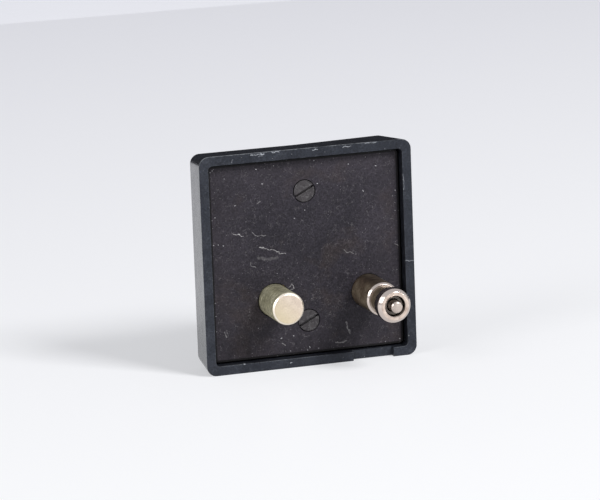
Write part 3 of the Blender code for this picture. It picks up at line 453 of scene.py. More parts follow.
# %% [markdown]
# ## The pins
#
# Both pins are turned. The guide pin is a plain rod with a chamfer, and the plug is a sleeve
# with a shoulder, a neck and a polished contact ring, an insulating bush in its bore and a
# sprung pin in the middle. On a lathe each is a profile, and in Blender a profile is spun.

# %% Guide pin
GUIDE_RADIUS = half_width("guide_pin")
GUIDE_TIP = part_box("guide_pin")[0].y - RIM_Y
GUIDE_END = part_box("guide_pin")[1].y - RIM_Y
GUIDE_CHAMFER = 0.4 * MM
GUIDE_EDGE = 0.12 * MM


def build_guide_pin():
    bm = turned([(0, GUIDE_END), (GUIDE_RADIUS, GUIDE_END),
                 (GUIDE_RADIUS, GUIDE_TIP + GUIDE_CHAMFER),
                 (GUIDE_RADIUS - GUIDE_CHAMFER, GUIDE_TIP), (0, GUIDE_TIP)], guide_axis)
    soften(bm, GUIDE_EDGE)
    return weigh_normals(finish_mesh("guide_post", bm))


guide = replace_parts(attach(build_guide_pin(), "housing"), "guide_pin")
count_faces(guide)

# %% Plug sleeve
SLEEVE_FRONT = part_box("plug_sleeve")[0].y - RIM_Y
SLEEVE_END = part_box("plug_sleeve")[1].y - RIM_Y
SHOULDER = PLATE_FRONT - 9.1 * MM
SHOULDER_BEVEL = 0.4 * MM
NECK_RADIUS = 2.7 * MM
NECK_FRONT = SHOULDER - SHOULDER_BEVEL - 4.5 * MM
RING_RADIUS = 3.5 * MM
RING_BEVEL = 0.7 * MM
RING_BEVEL_IN = 0.62 * MM
PLUG_BORE = 2.15 * MM
PLUG_EDGE = 0.07 * MM
PLUG_SHARP = math.radians(25)


def build_plug_sleeve():
    outside = [(PLUG_SHANK, SLEEVE_END), (PLUG_SHANK, SHOULDER),
               (PLUG_SHANK - SHOULDER_BEVEL, SHOULDER - SHOULDER_BEVEL),
               (NECK_RADIUS, SHOULDER - SHOULDER_BEVEL), (NECK_RADIUS, NECK_FRONT),
               (RING_RADIUS, NECK_FRONT), (RING_RADIUS, SLEEVE_FRONT + RING_BEVEL),
               (RING_RADIUS - RING_BEVEL_IN, SLEEVE_FRONT)]
    inside = [(PLUG_BORE, SLEEVE_FRONT), (PLUG_BORE, SLEEVE_END)]
    bm = turned(outside + inside, plug_axis, closed=True)
    soften(bm, PLUG_EDGE, segments=2, angle=PLUG_SHARP)
    return weigh_normals(finish_mesh("plug_body", bm))


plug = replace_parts(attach(build_plug_sleeve(), "housing"), "plug_sleeve")
count_faces(plug)

# %% Insulator and centre pin
BUSH_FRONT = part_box("plug_insulator")[0].y - RIM_Y
BUSH_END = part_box("plug_insulator")[1].y - RIM_Y
BUSH_RADIUS = 1.95 * MM
BUSH_MOUTH = 1.4 * MM
BUSH_BORE = 1.65 * MM
BUSH_SHOULDER = BUSH_FRONT + 3.0 * MM
BUSH_FLANGE = 3.2 * MM
BUSH_FLANGE_FRONT = SLEEVE_END + 0.3 * MM
BUSH_EDGE = 0.08 * MM


def build_insulator():
    bm = turned([(BUSH_FLANGE, BUSH_END), (BUSH_FLANGE, BUSH_FLANGE_FRONT),
                 (BUSH_RADIUS, BUSH_FLANGE_FRONT), (BUSH_RADIUS, BUSH_FRONT),
                 (BUSH_MOUTH, BUSH_FRONT), (BUSH_MOUTH, BUSH_SHOULDER),
                 (BUSH_BORE, BUSH_SHOULDER), (BUSH_BORE, BUSH_END)], plug_axis, closed=True)
    soften(bm, BUSH_EDGE, segments=2)
    return weigh_normals(finish_mesh("plug_bush", bm))


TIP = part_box("contact_pin")[0].y - RIM_Y
PIN_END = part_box("contact_pin")[1].y - RIM_Y
PIN_RADIUS = 1.2 * MM
PIN_TAIL_RADIUS = 0.6 * MM
PIN_FLANGE = half_width("contact_pin")
PIN_FLANGE_FRONT = BUSH_SHOULDER + 0.3 * MM
PIN_FLANGE_BACK = PIN_FLANGE_FRONT + 0.6 * MM
PIN_CHAMFER = 0.25 * MM
PIN_EDGE = 0.07 * MM


def build_centre_pin():
    bm = turned([(0, PIN_END), (PIN_TAIL_RADIUS, PIN_END), (PIN_TAIL_RADIUS, PIN_FLANGE_BACK),
                 (PIN_FLANGE, PIN_FLANGE_BACK), (PIN_FLANGE, PIN_FLANGE_FRONT),
                 (PIN_RADIUS, PIN_FLANGE_FRONT), (PIN_RADIUS, TIP + PIN_CHAMFER),
                 (PIN_RADIUS - PIN_CHAMFER, TIP), (0, TIP)], plug_axis, 64)
    soften(bm, PIN_EDGE)
    return weigh_normals(finish_mesh("sprung_pin", bm))


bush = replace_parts(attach(build_insulator(), "housing"), "plug_insulator")
centre_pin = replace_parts(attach(build_centre_pin(), "centre_pin"), "contact_pin")
count_faces(bush, centre_pin)

# %% [markdown]
# ## The button and its collar
#
# The photograph doesn't show the back. A release of this kind has a round button there with a
# tapered socket for a screw-in cable, in a bright collar.

# %% Button and collar
BUTTON_RADIUS = 5.9 * MM
CROWN_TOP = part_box("release_button")[1].y - RIM_Y
SKIRT_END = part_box("release_button")[0].y - RIM_Y
BUTTON_FLANGE = half_width("release_button")
FLANGE_HEIGHT = 0.7 * MM
SKIRT_BORE = BUTTON_RADIUS - 1.1 * MM
CROWN_THICKNESS = 1.6 * MM
CROWN_EDGE = 0.9 * MM
CROWN_EDGE_STEPS = 5
DISH = 0.35 * MM
POST = 3.2 * MM
POST_END = 12.8 * MM
SOCKET_MOUTH = 1.95 * MM
SOCKET_END = 1.65 * MM


def build_button():
    top = CROWN_TOP - CROWN_EDGE
    outside = [(BUTTON_FLANGE, SKIRT_END), (BUTTON_FLANGE, SKIRT_END + FLANGE_HEIGHT),
               (BUTTON_RADIUS, SKIRT_END + FLANGE_HEIGHT), (BUTTON_RADIUS, top)]
    for step in range(1, CROWN_EDGE_STEPS + 1):
        turn = math.radians(90 * step / CROWN_EDGE_STEPS)
        outside.append((BUTTON_RADIUS - CROWN_EDGE + CROWN_EDGE * math.cos(turn),
                        top + CROWN_EDGE * math.sin(turn)))
    dish = [(BUTTON_RADIUS * 0.62, CROWN_TOP - DISH * 0.45),
            (BUTTON_RADIUS * 0.45, CROWN_TOP - DISH * 0.8),
            (SOCKET_MOUTH + 0.3 * MM, CROWN_TOP - DISH)]
    inside = [(SOCKET_MOUTH, CROWN_TOP - DISH - 0.2 * MM), (SOCKET_END, POST_END),
              (POST, POST_END), (POST, CROWN_TOP - CROWN_THICKNESS),
              (SKIRT_BORE, CROWN_TOP - CROWN_THICKNESS), (SKIRT_BORE, SKIRT_END)]
    return finish_mesh("thumb_button", turned(outside + dish + inside, button_axis, closed=True))


COLLAR_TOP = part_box("button_collar")[1].y - RIM_Y
COLLAR_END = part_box("button_collar")[0].y - RIM_Y
COLLAR_RADIUS = half_width("button_collar")
COLLAR_SEAT = COLLAR_TOP - 1.0 * MM
COLLAR_SLEEVE = 7.0 * MM
COLLAR_BORE = BUTTON_RADIUS + 0.2 * MM
COLLAR_EDGE = 0.2 * MM


def build_collar():
    bm = turned([(COLLAR_BORE, COLLAR_END), (COLLAR_SLEEVE, COLLAR_END),
                 (COLLAR_SLEEVE, COLLAR_SEAT), (COLLAR_RADIUS, COLLAR_SEAT),
                 (COLLAR_RADIUS, COLLAR_TOP), (COLLAR_BORE, COLLAR_TOP)][::-1],
                button_axis, closed=True)
    soften(bm, COLLAR_EDGE, segments=4)
    return weigh_normals(finish_mesh("bright_collar", bm))


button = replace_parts(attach(build_button(), "button"), "release_button")
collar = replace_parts(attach(build_collar(), "housing"), "button_collar")
count_faces(button, collar)

# %% [markdown]
# ## The two springs
#
# A coil spring can't follow a joint as one rigid piece: one end stays and the other is pushed.
# Each spring here is a ring of wire spun with a small step along the axis, which is how the
# real one is wound. It stays on the housing and is given a mesh of its own.

# %% Springs
COIL_STEPS = 40
WIRE_SIDES = 12
BUTTON_WIRE, BUTTON_COILS = 0.25 * MM, 3
PIN_WIRE, PIN_COILS = 0.15 * MM, 12


def build_spring(name, node, wire_radius, turns):
    """A helix with the node's length and outer width."""
    low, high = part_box(node)
    axis = (low + high) / 2
    radius = (high.x - low.x) / 2 - wire_radius
    length = high.y - low.y - 2 * wire_radius
    steps = COIL_STEPS * turns
    bm = bmesh.new()
    bmesh.ops.create_circle(bm, segments=WIRE_SIDES, radius=wire_radius)
    bmesh.ops.translate(bm, vec=(axis.x + radius, low.y + wire_radius, axis.z), verts=bm.verts)
    bmesh.ops.spin(bm, geom=bm.verts[:] + bm.edges[:], cent=(axis.x, 0, axis.z),
                   axis=(0, -1, 0), dvec=(0, length / steps, 0), angle=2 * math.pi * turns,
                   steps=steps)
    bmesh.ops.holes_fill(bm, edges=[e for e in bm.edges if e.is_boundary], sides=0)
    bmesh.ops.recalc_face_normals(bm, faces=bm.faces)
    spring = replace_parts(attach(finish_mesh(name, bm), "housing"), node)
    print("%s: %.2f mm long" % (name, (high.y - low.y) / MM))
    return spring


def squash_spring(spring):
    """Gives a spring its own copy of its mesh."""
    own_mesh(spring)


button_coil = build_spring("button_coil", "button_spring", BUTTON_WIRE, BUTTON_COILS)
pin_coil = build_spring("pin_coil", "contact_pin_spring", PIN_WIRE, PIN_COILS)
squash_spring(button_coil)
squash_spring(pin_coil)

# %% [markdown]
# ## Finishes: how they are wired
#
# Wear, grain and dust are what make a render look used and not new. The same few effects come
# back in nearly every finish here, so each is a node group, built once and placed with its own
# values. Groups give out masks, heights and distances only, and each material keeps its own
# shader. All of them read the Object coordinates, which are the same as places on the real
# object because every piece sits at the origin, and which stay put when the camera moves.

# %% Wiring helpers
PER_METRE = 1000.0
ORIGIN = (0.0, 0.0, 0.0)


def connect(tree, socket, value):
    """Feeds a socket from another socket, or sets it to a plain value."""
    if isinstance(value, bpy.types.NodeSocket):
        tree.links.new(value, socket)
    elif isinstance(value, tuple) and socket.type == "RGBA":
        socket.default_value = (*value, 1)
    else:
        socket.default_value = value


def add(tree, kind, inputs=(), output=0, **settings):
    """Adds a node, sets it up, and returns one of its outputs."""
    node = tree.nodes.new("ShaderNode" + kind)
    for name, value in settings.items():
        setattr(node, name, value)
    for name, value in dict(inputs).items():
        connect(tree, node.inputs[name], value)
    return node.outputs[output]


def calc(tree, operation, *values, clamp=False):
    return add(tree, "Math", enumerate(values), operation=operation, use_clamp=clamp)


def times(tree, value, factor):
    return calc(tree, "MULTIPLY", value, factor)


def less(tree, value, taken):
    return calc(tree, "SUBTRACT", value, taken)


def larger(tree, one, other):
    return calc(tree, "MAXIMUM", one, other)


def vector_calc(tree, operation, *values, output=0):
    return add(tree, "VectorMath", enumerate(values), output, operation=operation)


def scaled(tree, vector, scale):
    return add(tree, "VectorMath", {0: vector, "Scale": scale}, operation="SCALE")


def remap(tree, value, low, high, to_low=0.0, to_high=1.0, smooth=False):
    """Stretches a value from one range to another, clamped, with soft ends if asked."""
    kind = "SMOOTHSTEP" if smooth else "LINEAR"
    return add(tree, "MapRange", {"Value": value, "From Min": low, "From Max": high,
                                  "To Min": to_low, "To Max": to_high}, interpolation_type=kind)


MIX_FACTOR, MIX_A, MIX_B, MIX_RESULT = 0, 6, 7, 2


def tint(tree, factor, below, above, mode="MIX"):
    """Goes from one colour to another as the factor goes from 0 to 1."""
    return add(tree, "Mix", {MIX_FACTOR: factor, MIX_A: below, MIX_B: above}, MIX_RESULT,
               data_type="RGBA", blend_type=mode)


def noise(tree, vector, size, detail=3.0, roughness=0.55):
    """Fractal noise about 0.5, whose largest lumps are `size` across."""
    return add(tree, "TexNoise", {"Vector": vector, "Scale": calc(tree, "DIVIDE", 1.0, size),
                                  "Detail": detail, "Roughness": roughness})


def effect(tree, group, **inputs):
    """Places a node group, sets its inputs by name, and returns its output."""
    node = tree.nodes.new("ShaderNodeGroup")
    node.node_tree = group
    for name, value in inputs.items():
        connect(tree, node.inputs[name.capitalize()], value)
    return node.outputs[0]


# %% [markdown]
# ## Shared effects
#
# - `clouds` varies a finish in soft patches, as handling and age do.
# - `specks` scatters small round grains of dust.
# - `hairs` draws thin curling lines where a noise crosses its middle value. Real lint and fine
#   scratches curl in just that way, and no two are alike.
# - `stroke` is one mark between two points, for the few that stand out on the real object.
# - `worn_edge` turns a distance to an edge into a broken line of wear.
# - `lathe_lines` gives the fine rings that a turning tool leaves.
# - `square_distance` measures how far a point lies inside a square with rounded corners.
#
# Each effect is written as a plain function of its inputs, which adds the nodes and returns the
# last one's output. `make_group` makes the group's sockets and has that function fill it.
# Lengths are in millimetres on the real object.

# %% Group maker


def make_group(wire, output, **inputs):
    """A node group with a Vector and the named inputs, and the one output that `wire` gives."""
    tree = bpy.data.node_groups.new(wire.__name__, "ShaderNodeTree")
    inputs = {"vector": ORIGIN, **inputs}
    for name, default in inputs.items():
        kind = "NodeSocketVector" if isinstance(default, tuple) else "NodeSocketFloat"
        socket = tree.interface.new_socket(name.capitalize(), in_out="INPUT", socket_type=kind)
        socket.default_value = default
    tree.interface.new_socket(output, in_out="OUTPUT", socket_type="NodeSocketFloat")
    given = tree.nodes.new("NodeGroupInput").outputs
    result = tree.nodes.new("NodeGroupOutput").inputs[output]
    tree.links.new(wire(tree, **{name: given[name.capitalize()] for name in inputs}), result)
    return tree


# %% Effects: clouds, specks and hairs


def clouds(tree, vector, size, low, high):
    lumps = noise(tree, vector, size, detail=5.0, roughness=0.6)
    return remap(tree, lumps, 0.32, 0.68, low, high)


def specks(tree, vector, spacing, share, radius):
    cells = tree.nodes.new("ShaderNodeTexVoronoi")
    connect(tree, cells.inputs["Vector"], vector)
    connect(tree, cells.inputs["Scale"], calc(tree, "DIVIDE", 1.0, spacing))
    chance, fatness = (add(tree, "SeparateColor", {"Color": cells.outputs["Color"]}, channel)
                       for channel in ("Red", "Green"))
    distance = times(tree, cells.outputs["Distance"], spacing)
    ragged = calc(tree, "MULTIPLY_ADD", noise(tree, vector, 0.3, detail=4.0), 0.3,
                  less(tree, distance, 0.15))
    reach = times(tree, radius, remap(tree, fatness, 0.0, 1.0, 0.5, 1.5))
    near = remap(tree, ragged, times(tree, reach, 0.4), reach, 1.0, 0.0, smooth=True)
    return times(tree, near, calc(tree, "LESS_THAN", chance, share))


def hairs(tree, vector, size, thickness, share):
    curls = noise(tree, vector, size, detail=2.0)
    line = remap(tree, calc(tree, "ABSOLUTE", less(tree, curls, 0.5)), 0.0, thickness, 1.0, 0.0,
                 smooth=True)
    elsewhere = vector_calc(tree, "ADD", vector, (37.0, 11.0, 23.0))
    patch = noise(tree, elsewhere, times(tree, size, 1.2))
    bare = less(tree, 0.75, times(tree, share, 0.5))
    return times(tree, line, remap(tree, patch, bare, calc(tree, "ADD", bare, 0.06), smooth=True))


CLOUDS = make_group(clouds, "Value", size=3.0, low=0.0, high=1.0)
SPECKS = make_group(specks, "Mask", spacing=2.0, share=0.3, radius=0.15)
HAIRS = make_group(hairs, "Mask", size=3.0, thickness=0.02, share=0.4)

# %% Effects: a single stroke, a worn edge, lathe lines and a square's distance
TINY = 1e-6


def stroke(tree, vector, start, end, width, strength, before):
    """The mask of one mark, or of the marks before it where they are stronger.

    Adding a trace of the marks before to the place makes each stroke wait for the last one.
    Otherwise the renderer holds all of them at once, runs out of room, and shades black.
    """
    place = vector_calc(tree, "MULTIPLY_ADD", before, (TINY, TINY, TINY), vector)
    along = vector_calc(tree, "SUBTRACT", end, start)
    reach = vector_calc(tree, "SUBTRACT", place, start)
    share = calc(tree, "DIVIDE", vector_calc(tree, "DOT_PRODUCT", reach, along, output="Value"),
                 vector_calc(tree, "DOT_PRODUCT", along, along, output="Value"), clamp=True)
    off = vector_calc(tree, "SUBTRACT", reach, scaled(tree, along, share))
    distance = vector_calc(tree, "LENGTH", off, output="Value")
    line = remap(tree, distance, times(tree, width, 0.3), width, strength, 0.0, smooth=True)
    return larger(tree, line, before)


def worn_edge(tree, vector, distance, width, share):
    bite = remap(tree, noise(tree, vector, 0.9, detail=6.0, roughness=0.7), 0.4, 0.75, 0.35, 2.2)
    reach = times(tree, width, bite)
    line = remap(tree, distance, times(tree, reach, 0.45), reach, 1.0, 0.0, smooth=True)
    patch = noise(tree, vector, 5.0, detail=4.0)
    bare = less(tree, 0.8, times(tree, share, 0.6))
    present = remap(tree, patch, bare, calc(tree, "ADD", bare, 0.12), 0.15, 1.0, smooth=True)
    return times(tree, line, present)


def lathe_lines(tree, vector, axis, pitch):
    offset = vector_calc(tree, "SUBTRACT", vector, axis)
    x, y, z = (add(tree, "SeparateXYZ", {"Vector": offset}, letter) for letter in "XYZ")
    radius = calc(tree, "SQRT", calc(tree, "ADD", times(tree, x, x), times(tree, z, z)))
    turn = calc(tree, "ARCTAN2", z, x)
    rings = add(tree, "CombineXYZ", {"X": radius, "Y": y, "Z": times(tree, turn, 0.06)})
    return noise(tree, rings, pitch)


def square_distance(tree, vector, half, corner):
    inner = less(tree, half, corner)
    past = [less(tree, calc(tree, "ABSOLUTE", add(tree, "SeparateXYZ", {"Vector": vector}, letter)),
                 inner) for letter in "XZ"]
    outside = [larger(tree, value, 0.0) for value in past]
    round_part = calc(tree, "SQRT", calc(tree, "ADD", *[calc(tree, "POWER", value, 2.0)
                                                        for value in outside]))
    flat_part = calc(tree, "MINIMUM", larger(tree, *past), 0.0)
    return less(tree, corner, calc(tree, "ADD", round_part, flat_part))


STROKE = make_group(stroke, "Mask", start=ORIGIN, end=(1.0, 0.0, 0.0), width=0.1, strength=1.0,
                    before=0.0)
WORN_EDGE = make_group(worn_edge, "Mask", distance=0.0, width=0.2, share=0.5)
LATHE_LINES = make_group(lathe_lines, "Height", axis=ORIGIN, pitch=0.2)
SQUARE_DISTANCE = make_group(square_distance, "Distance", half=20.0, corner=2.0)
print("shared effects:", [group.name for group in bpy.data.node_groups])

# %% [markdown]
# ## Starting a material
#
# `Finish` makes a material and the one vector that all its effects share: the place on the
# object in millimetres, counted from the middle of the rim. `Layers` builds up a colour as paint
# and dirt do, each layer over the last one. Colours are written as Blender's linear values.
# Anything that stays the same all over a piece is set on the shader's own socket, so it
# survives an export.

# %% Layers and finishes


class Layers:
    """A colour that starts as two patchy tones, and is then covered and shaded in turn."""

    def __init__(self, tree, patches, dark, light):
        self.tree = tree
        self.colour = tint(tree, patches, dark, light)

    def cover(self, mask, colour, strength=None):
        """Lays a colour over the others where a mask is 1, thinned to a strength if given."""
        if strength is not None:
            mask = times(self.tree, mask, strength)
        self.colour = tint(self.tree, mask, self.colour, colour)

    def shade(self, value):
        """Makes the colour darker or lighter by a value."""
        self.colour = tint(self.tree, 1.0, self.colour, value, "MULTIPLY")


class Finish:
    """A material, its shader, and the point being shaded in millimetres from the rim's middle."""

    def __init__(self, name, roughness=0.5, metallic=0.0):
        self.material = bpy.data.materials.new(name)
        self.material.use_nodes = True
        self.tree = self.material.node_tree
        self.shader = self.tree.nodes["Principled BSDF"]
        self.give("Roughness", roughness)
        self.give("Metallic", metallic)
        place = add(self.tree, "TexCoord", output="Object")
        centred = vector_calc(self.tree, "SUBTRACT", place, (0.0, RIM_Y, MIDDLE))
        self.point = scaled(self.tree, centred, PER_METRE)

    def give(self, socket, value):
        connect(self.tree, self.shader.inputs[socket], value)

    def axis(self, letter):
        return add(self.tree, "SeparateXYZ", {"Vector": self.point}, letter)

    def effect(self, group, **inputs):
        inputs.setdefault("vector", self.point)
        return effect(self.tree, group, **inputs)

    def clouds(self, size, low=0.0, high=1.0, shift=None):
        """Soft patches between two values, taken from another place if a shift is given."""
        place = vector_calc(self.tree, "ADD", self.point, shift) if shift else self.point
        return self.effect(CLOUDS, vector=place, size=size, low=low, high=high)

    def layers(self, size, dark, light):
        return Layers(self.tree, self.clouds(size), dark, light)

    def facing(self, direction):
        """How squarely the surface faces a direction, from 0 to 1."""
        normal = add(self.tree, "NewGeometry", output="True Normal")
        value = vector_calc(self.tree, "DOT_PRODUCT", normal, direction, output="Value")
        return larger(self.tree, value, 0.0)

    def strokes(self, marks):
        """The strongest of a list of marks: (start, end, width, strength), as (x, z) places.

        One slow noise bends them all, and a quick one breaks them up, as a real scratch skips.
        """
        flat = vector_calc(self.tree, "MULTIPLY", self.point, (1.0, 0.0, 1.0))
        shake = add(self.tree, "TexNoise", {"Vector": flat, "Scale": 1.3, "Detail": 3.0}, "Color")
        shake = vector_calc(self.tree, "MULTIPLY_ADD", shake, (0.9, 0.0, 0.9), (-0.45, 0.0, -0.45))
        bent = vector_calc(self.tree, "ADD", flat, shake)
        mask = 0.0
        for (x1, z1), (x2, z2), width, strength in marks:
            mask = effect(self.tree, STROKE, vector=bent, start=(x1, 0, z1), end=(x2, 0, z2),
                          width=width, strength=strength, before=mask)
        broken = remap(self.tree, noise(self.tree, flat, 0.5, detail=4.0), 0.35, 0.6, 0.4, 1.0)
        return times(self.tree, mask, broken)

    def bump(self, height, distance):
        """Bump from a height of 0 to 1 that stands for a real distance in metres."""
        self.give("Normal", add(self.tree, "Bump", {"Height": height, "Distance": distance}))

    def turn_marks(self, axis, pitch, depth):
        """The rings of a lathe about an axis, as bump. Returns them for other uses."""
        rings = self.effect(LATHE_LINES, axis=in_mm(axis), pitch=pitch)
        self.bump(rings, depth)
        return rings


def wear(finish, *pieces):
    """Puts a finish on pieces, in place of whatever they wore."""
    for piece in pieces:
        piece.data.materials.clear()
        piece.data.materials.append(finish.material)
    print("%s is worn by %s" % (finish.material.name, ", ".join(piece.name for piece in pieces)))


def in_mm(place):
    """A place in metres as the finishes count it, in millimetres from the rim's middle."""
    return (place.x / MM, (place.y - RIM_Y) / MM, (place.z - MIDDLE) / MM)


# %% [markdown]
# ## Black plastic: the case
#
# The case is a hard, slightly blue black plastic with a moulded skin. Its front rim has gone
# dull and mottled from handling, its side walls are still smooth, and its outer edge is chipped
# grey along the top. So the finish is a dark base in soft patches, a thin line of wear that
# follows the rim's outline, the few chips that stand out as strokes, and dust. A coat gives the
# walls their gloss, and hardly any of it lies on the top wall, which is the dullest one.

# %% Case plastic
RIM_CHIPS = [((-11.6, 22.2), (-10.6, 22.1), 0.1, 0.7), ((-10.4, 22.05), (-8.7, 22.2), 0.11, 0.6),
             ((-9.9, 21.8), (-9.0, 21.85), 0.07, 0.5), ((-7.1, 22.25), (-5.6, 22.25), 0.11, 0.75),
             ((1.5, 22.05), (2.7, 22.0), 0.12, 0.7), ((8.0, 22.0), (9.5, 22.05), 0.12, 0.6),
             ((12.6, 22.3), (15.1, 22.3), 0.1, 0.45), ((-15.6, 20.9), (-15.4, 21.5), 0.11, 0.4),
             ((-14.8, -20.1), (-14.6, -20.7), 0.13, 0.7), ((-5.0, -21.4), (-4.5, -21.4), 0.12, 0.6),
             ((18.9, -2.4), (20.4, -2.7), 0.1, 0.4), ((20.4, -2.7), (22.4, -2.9), 0.1, 0.5),
             ((20.6, 15.3), (20.8, 13.6), 0.09, 0.35), ((20.8, 13.6), (20.7, 12.0), 0.09, 0.3)]
OUTLINE = dict(half=HALF / MM, corner=CASE_CORNER / MM)
POCKET_OUTLINE = dict(half=POCKET_HALF / MM, corner=POCKET_CORNER / MM)


def make_case_plastic():
    finish = Finish("case_plastic")
    tree = finish.tree
    base = finish.layers(5.0, (0.0090, 0.0108, 0.0160), (0.0180, 0.0208, 0.0285))
    base.shade(finish.clouds(0.4, 0.5, 1.6))
    at_front = remap(tree, finish.axis("Y"), 0.25, 0.5, 1.0, 0.0)
    rim_face = times(tree, finish.facing((0, -1, 0)), at_front)
    sideways = add(tree, "SeparateXYZ", {"Vector": add(tree, "NewGeometry", output="Normal")}, "Y")
    on_wall = remap(tree, calc(tree, "ABSOLUTE", sideways), 0.2, 0.5, 1.0, 0.0)
    # Painted shade: the walls are made darker than the rim, mostly so that the top wall is dark.
    base.cover(on_wall, (0.004, 0.004, 0.006), 0.6)
    scuff = finish.effect(HAIRS, size=1.8, thickness=0.03, share=0.5)
    base.cover(scuff, (0.12, 0.13, 0.15), 0.14)
    # Paler patches, faint all over the case and stronger towards the left.
    to_left = remap(tree, finish.axis("X"), -16.0, -22.0, 0.25, 1.0)
    paler_patches = times(tree, finish.clouds(2.6, 0.0, 0.6), to_left)
    base.cover(paler_patches, (0.060, 0.063, 0.075), 0.3)
    outline = finish.effect(SQUARE_DISTANCE, **OUTLINE)
    lip = finish.effect(WORN_EDGE, distance=outline, width=0.09, share=0.75)
    on_top = remap(tree, finish.axis("Z"), 21.0, 22.0, 0.25, 1.0)
    lip = times(tree, times(tree, lip, at_front), on_top)
    pocket = calc(tree, "ABSOLUTE", finish.effect(SQUARE_DISTANCE, **POCKET_OUTLINE))
    inner = times(tree, finish.effect(WORN_EDGE, distance=pocket, width=0.16, share=0.6), rim_face)
    chips = times(tree, finish.strokes(RIM_CHIPS), at_front)
    base.cover(inner, (0.13, 0.14, 0.16), 0.3)
    base.cover(lip, (0.24, 0.25, 0.27), 0.6)
    base.cover(chips, (0.46, 0.48, 0.52))
    dust = finish.effect(SPECKS, spacing=0.8, share=0.35, radius=0.07)
    base.cover(dust, (0.5, 0.5, 0.52), 0.45)
    finish.give("Base Color", base.colour)
    finish.give("Specular IOR Level", 0.2)
    worn = larger(tree, chips, lip)
    finish.give("Roughness", larger(tree, finish.clouds(2.2, 0.36, 0.52), times(tree, worn, 0.7)))
    skin = times(tree, noise(tree, finish.point, 0.22), 0.6)
    finish.bump(less(tree, skin, times(tree, worn, 1.5)), 0.012 * MM)
    dull_top = remap(tree, finish.facing((0, 0, 1)), 0.3, 0.8, 0.92, 0.1)
    finish.give("Coat Weight", times(tree, on_wall, dull_top))
    finish.give("Coat Roughness", 0.2)
    return finish


wear(make_case_plastic(), case)

# %% [markdown]
# ## Painted sheet: the plate
#
# The plate carries a thin dull black paint with a warm, slightly purple cast. Its colour is painted
# lighter near its edges and towards the top right, as painted light, and a painted shadow darkens
# the line along its edge. Lint, fine scratches and dust lie on it. The marks that anyone would
# notice are strokes at their real places, and the rest come from the shared effects.

# %% Plate marks, as lines of (x, z) points with a width and a strength
PLATE_LINES = [
    ([(-15.4, 5.9), (-14.3, 5.9), (-13.7, 5.5), (-13.2, 5.3)], 0.1, 0.9),
    ([(-11.4, 5.9), (-10.8, 5.4), (-10.1, 5.1), (-9.3, 5.2), (-8.5, 5.0)], 0.1, 0.4),
    ([(-10.0, 2.8), (-9.0, 2.5), (-7.7, 2.0), (-6.5, 1.7), (-5.4, 1.0), (-4.4, 0.8)], 0.1, 0.65),
    ([(-12.0, -0.1), (-11.7, -0.9), (-10.8, -1.4)], 0.09, 0.35),
    ([(8.0, 0.4), (8.7, -0.3), (9.3, -0.1), (10.1, -0.6)], 0.09, 0.4),
    ([(-4.0, -6.3), (-3.3, -5.5), (-2.9, -6.4), (-3.6, -6.7)], 0.09, 0.6),
    ([(7.9, -14.6), (8.3, -15.9), (8.7, -17.2)], 0.2, 0.35),
    ([(5.6, -18.5), (6.9, -18.9), (7.8, -18.4)], 0.17, 0.4),
    ([(-18.1, -13.9), (-17.5, -15.2)], 0.12, 0.35),
    ([(-10.1, 11.7), (-9.4, 12.3)], 0.12, 0.3),
    ([(19.0, 0.6), (19.9, 0.1)], 0.08, 0.6),
    ([(-5.9, -17.7), (-5.1, -18.2)], 0.12, 0.4),
    ([(-10.3, 0.6), (-7.8, 0.1), (-6.3, 0.2)], 0.4, 0.12)]
PLATE_MARKS = [(a, b, width, strength) for points, width, strength in PLATE_LINES
               for a, b in zip(points, points[1:])]
PLATE_SPECKS = [(-8.9, 15.7, 0.14), (-10.0, 18.8, 0.12), (-16.8, 17.4, 0.08), (-19.3, 19.3, 0.11),
                (9.5, 18.1, 0.1), (15.3, 17.1, 0.09), (12.5, 12.2, 0.09), (2.3, 19.4, 0.09),
                (-14.9, 11.7, 0.08), (-0.1, 9.5, 0.07), (-2.4, 7.9, 0.08), (2.7, 14.6, 0.09),
                (-6.0, -16.5, 0.11), (-3.5, -16.3, 0.08), (-19.2, 9.7, 0.09), (-17.6, 3.8, 0.11),
                (-18.7, 4.2, 0.09), (-6.4, -3.1, 0.08), (-10.9, -13.9, 0.08), (0.0, -19.0, 0.08)]
SPECK_LENGTH = 0.1
print("plate: %d marks and %d specks" % (len(PLATE_MARKS), len(PLATE_SPECKS)))

# %% Plate paint


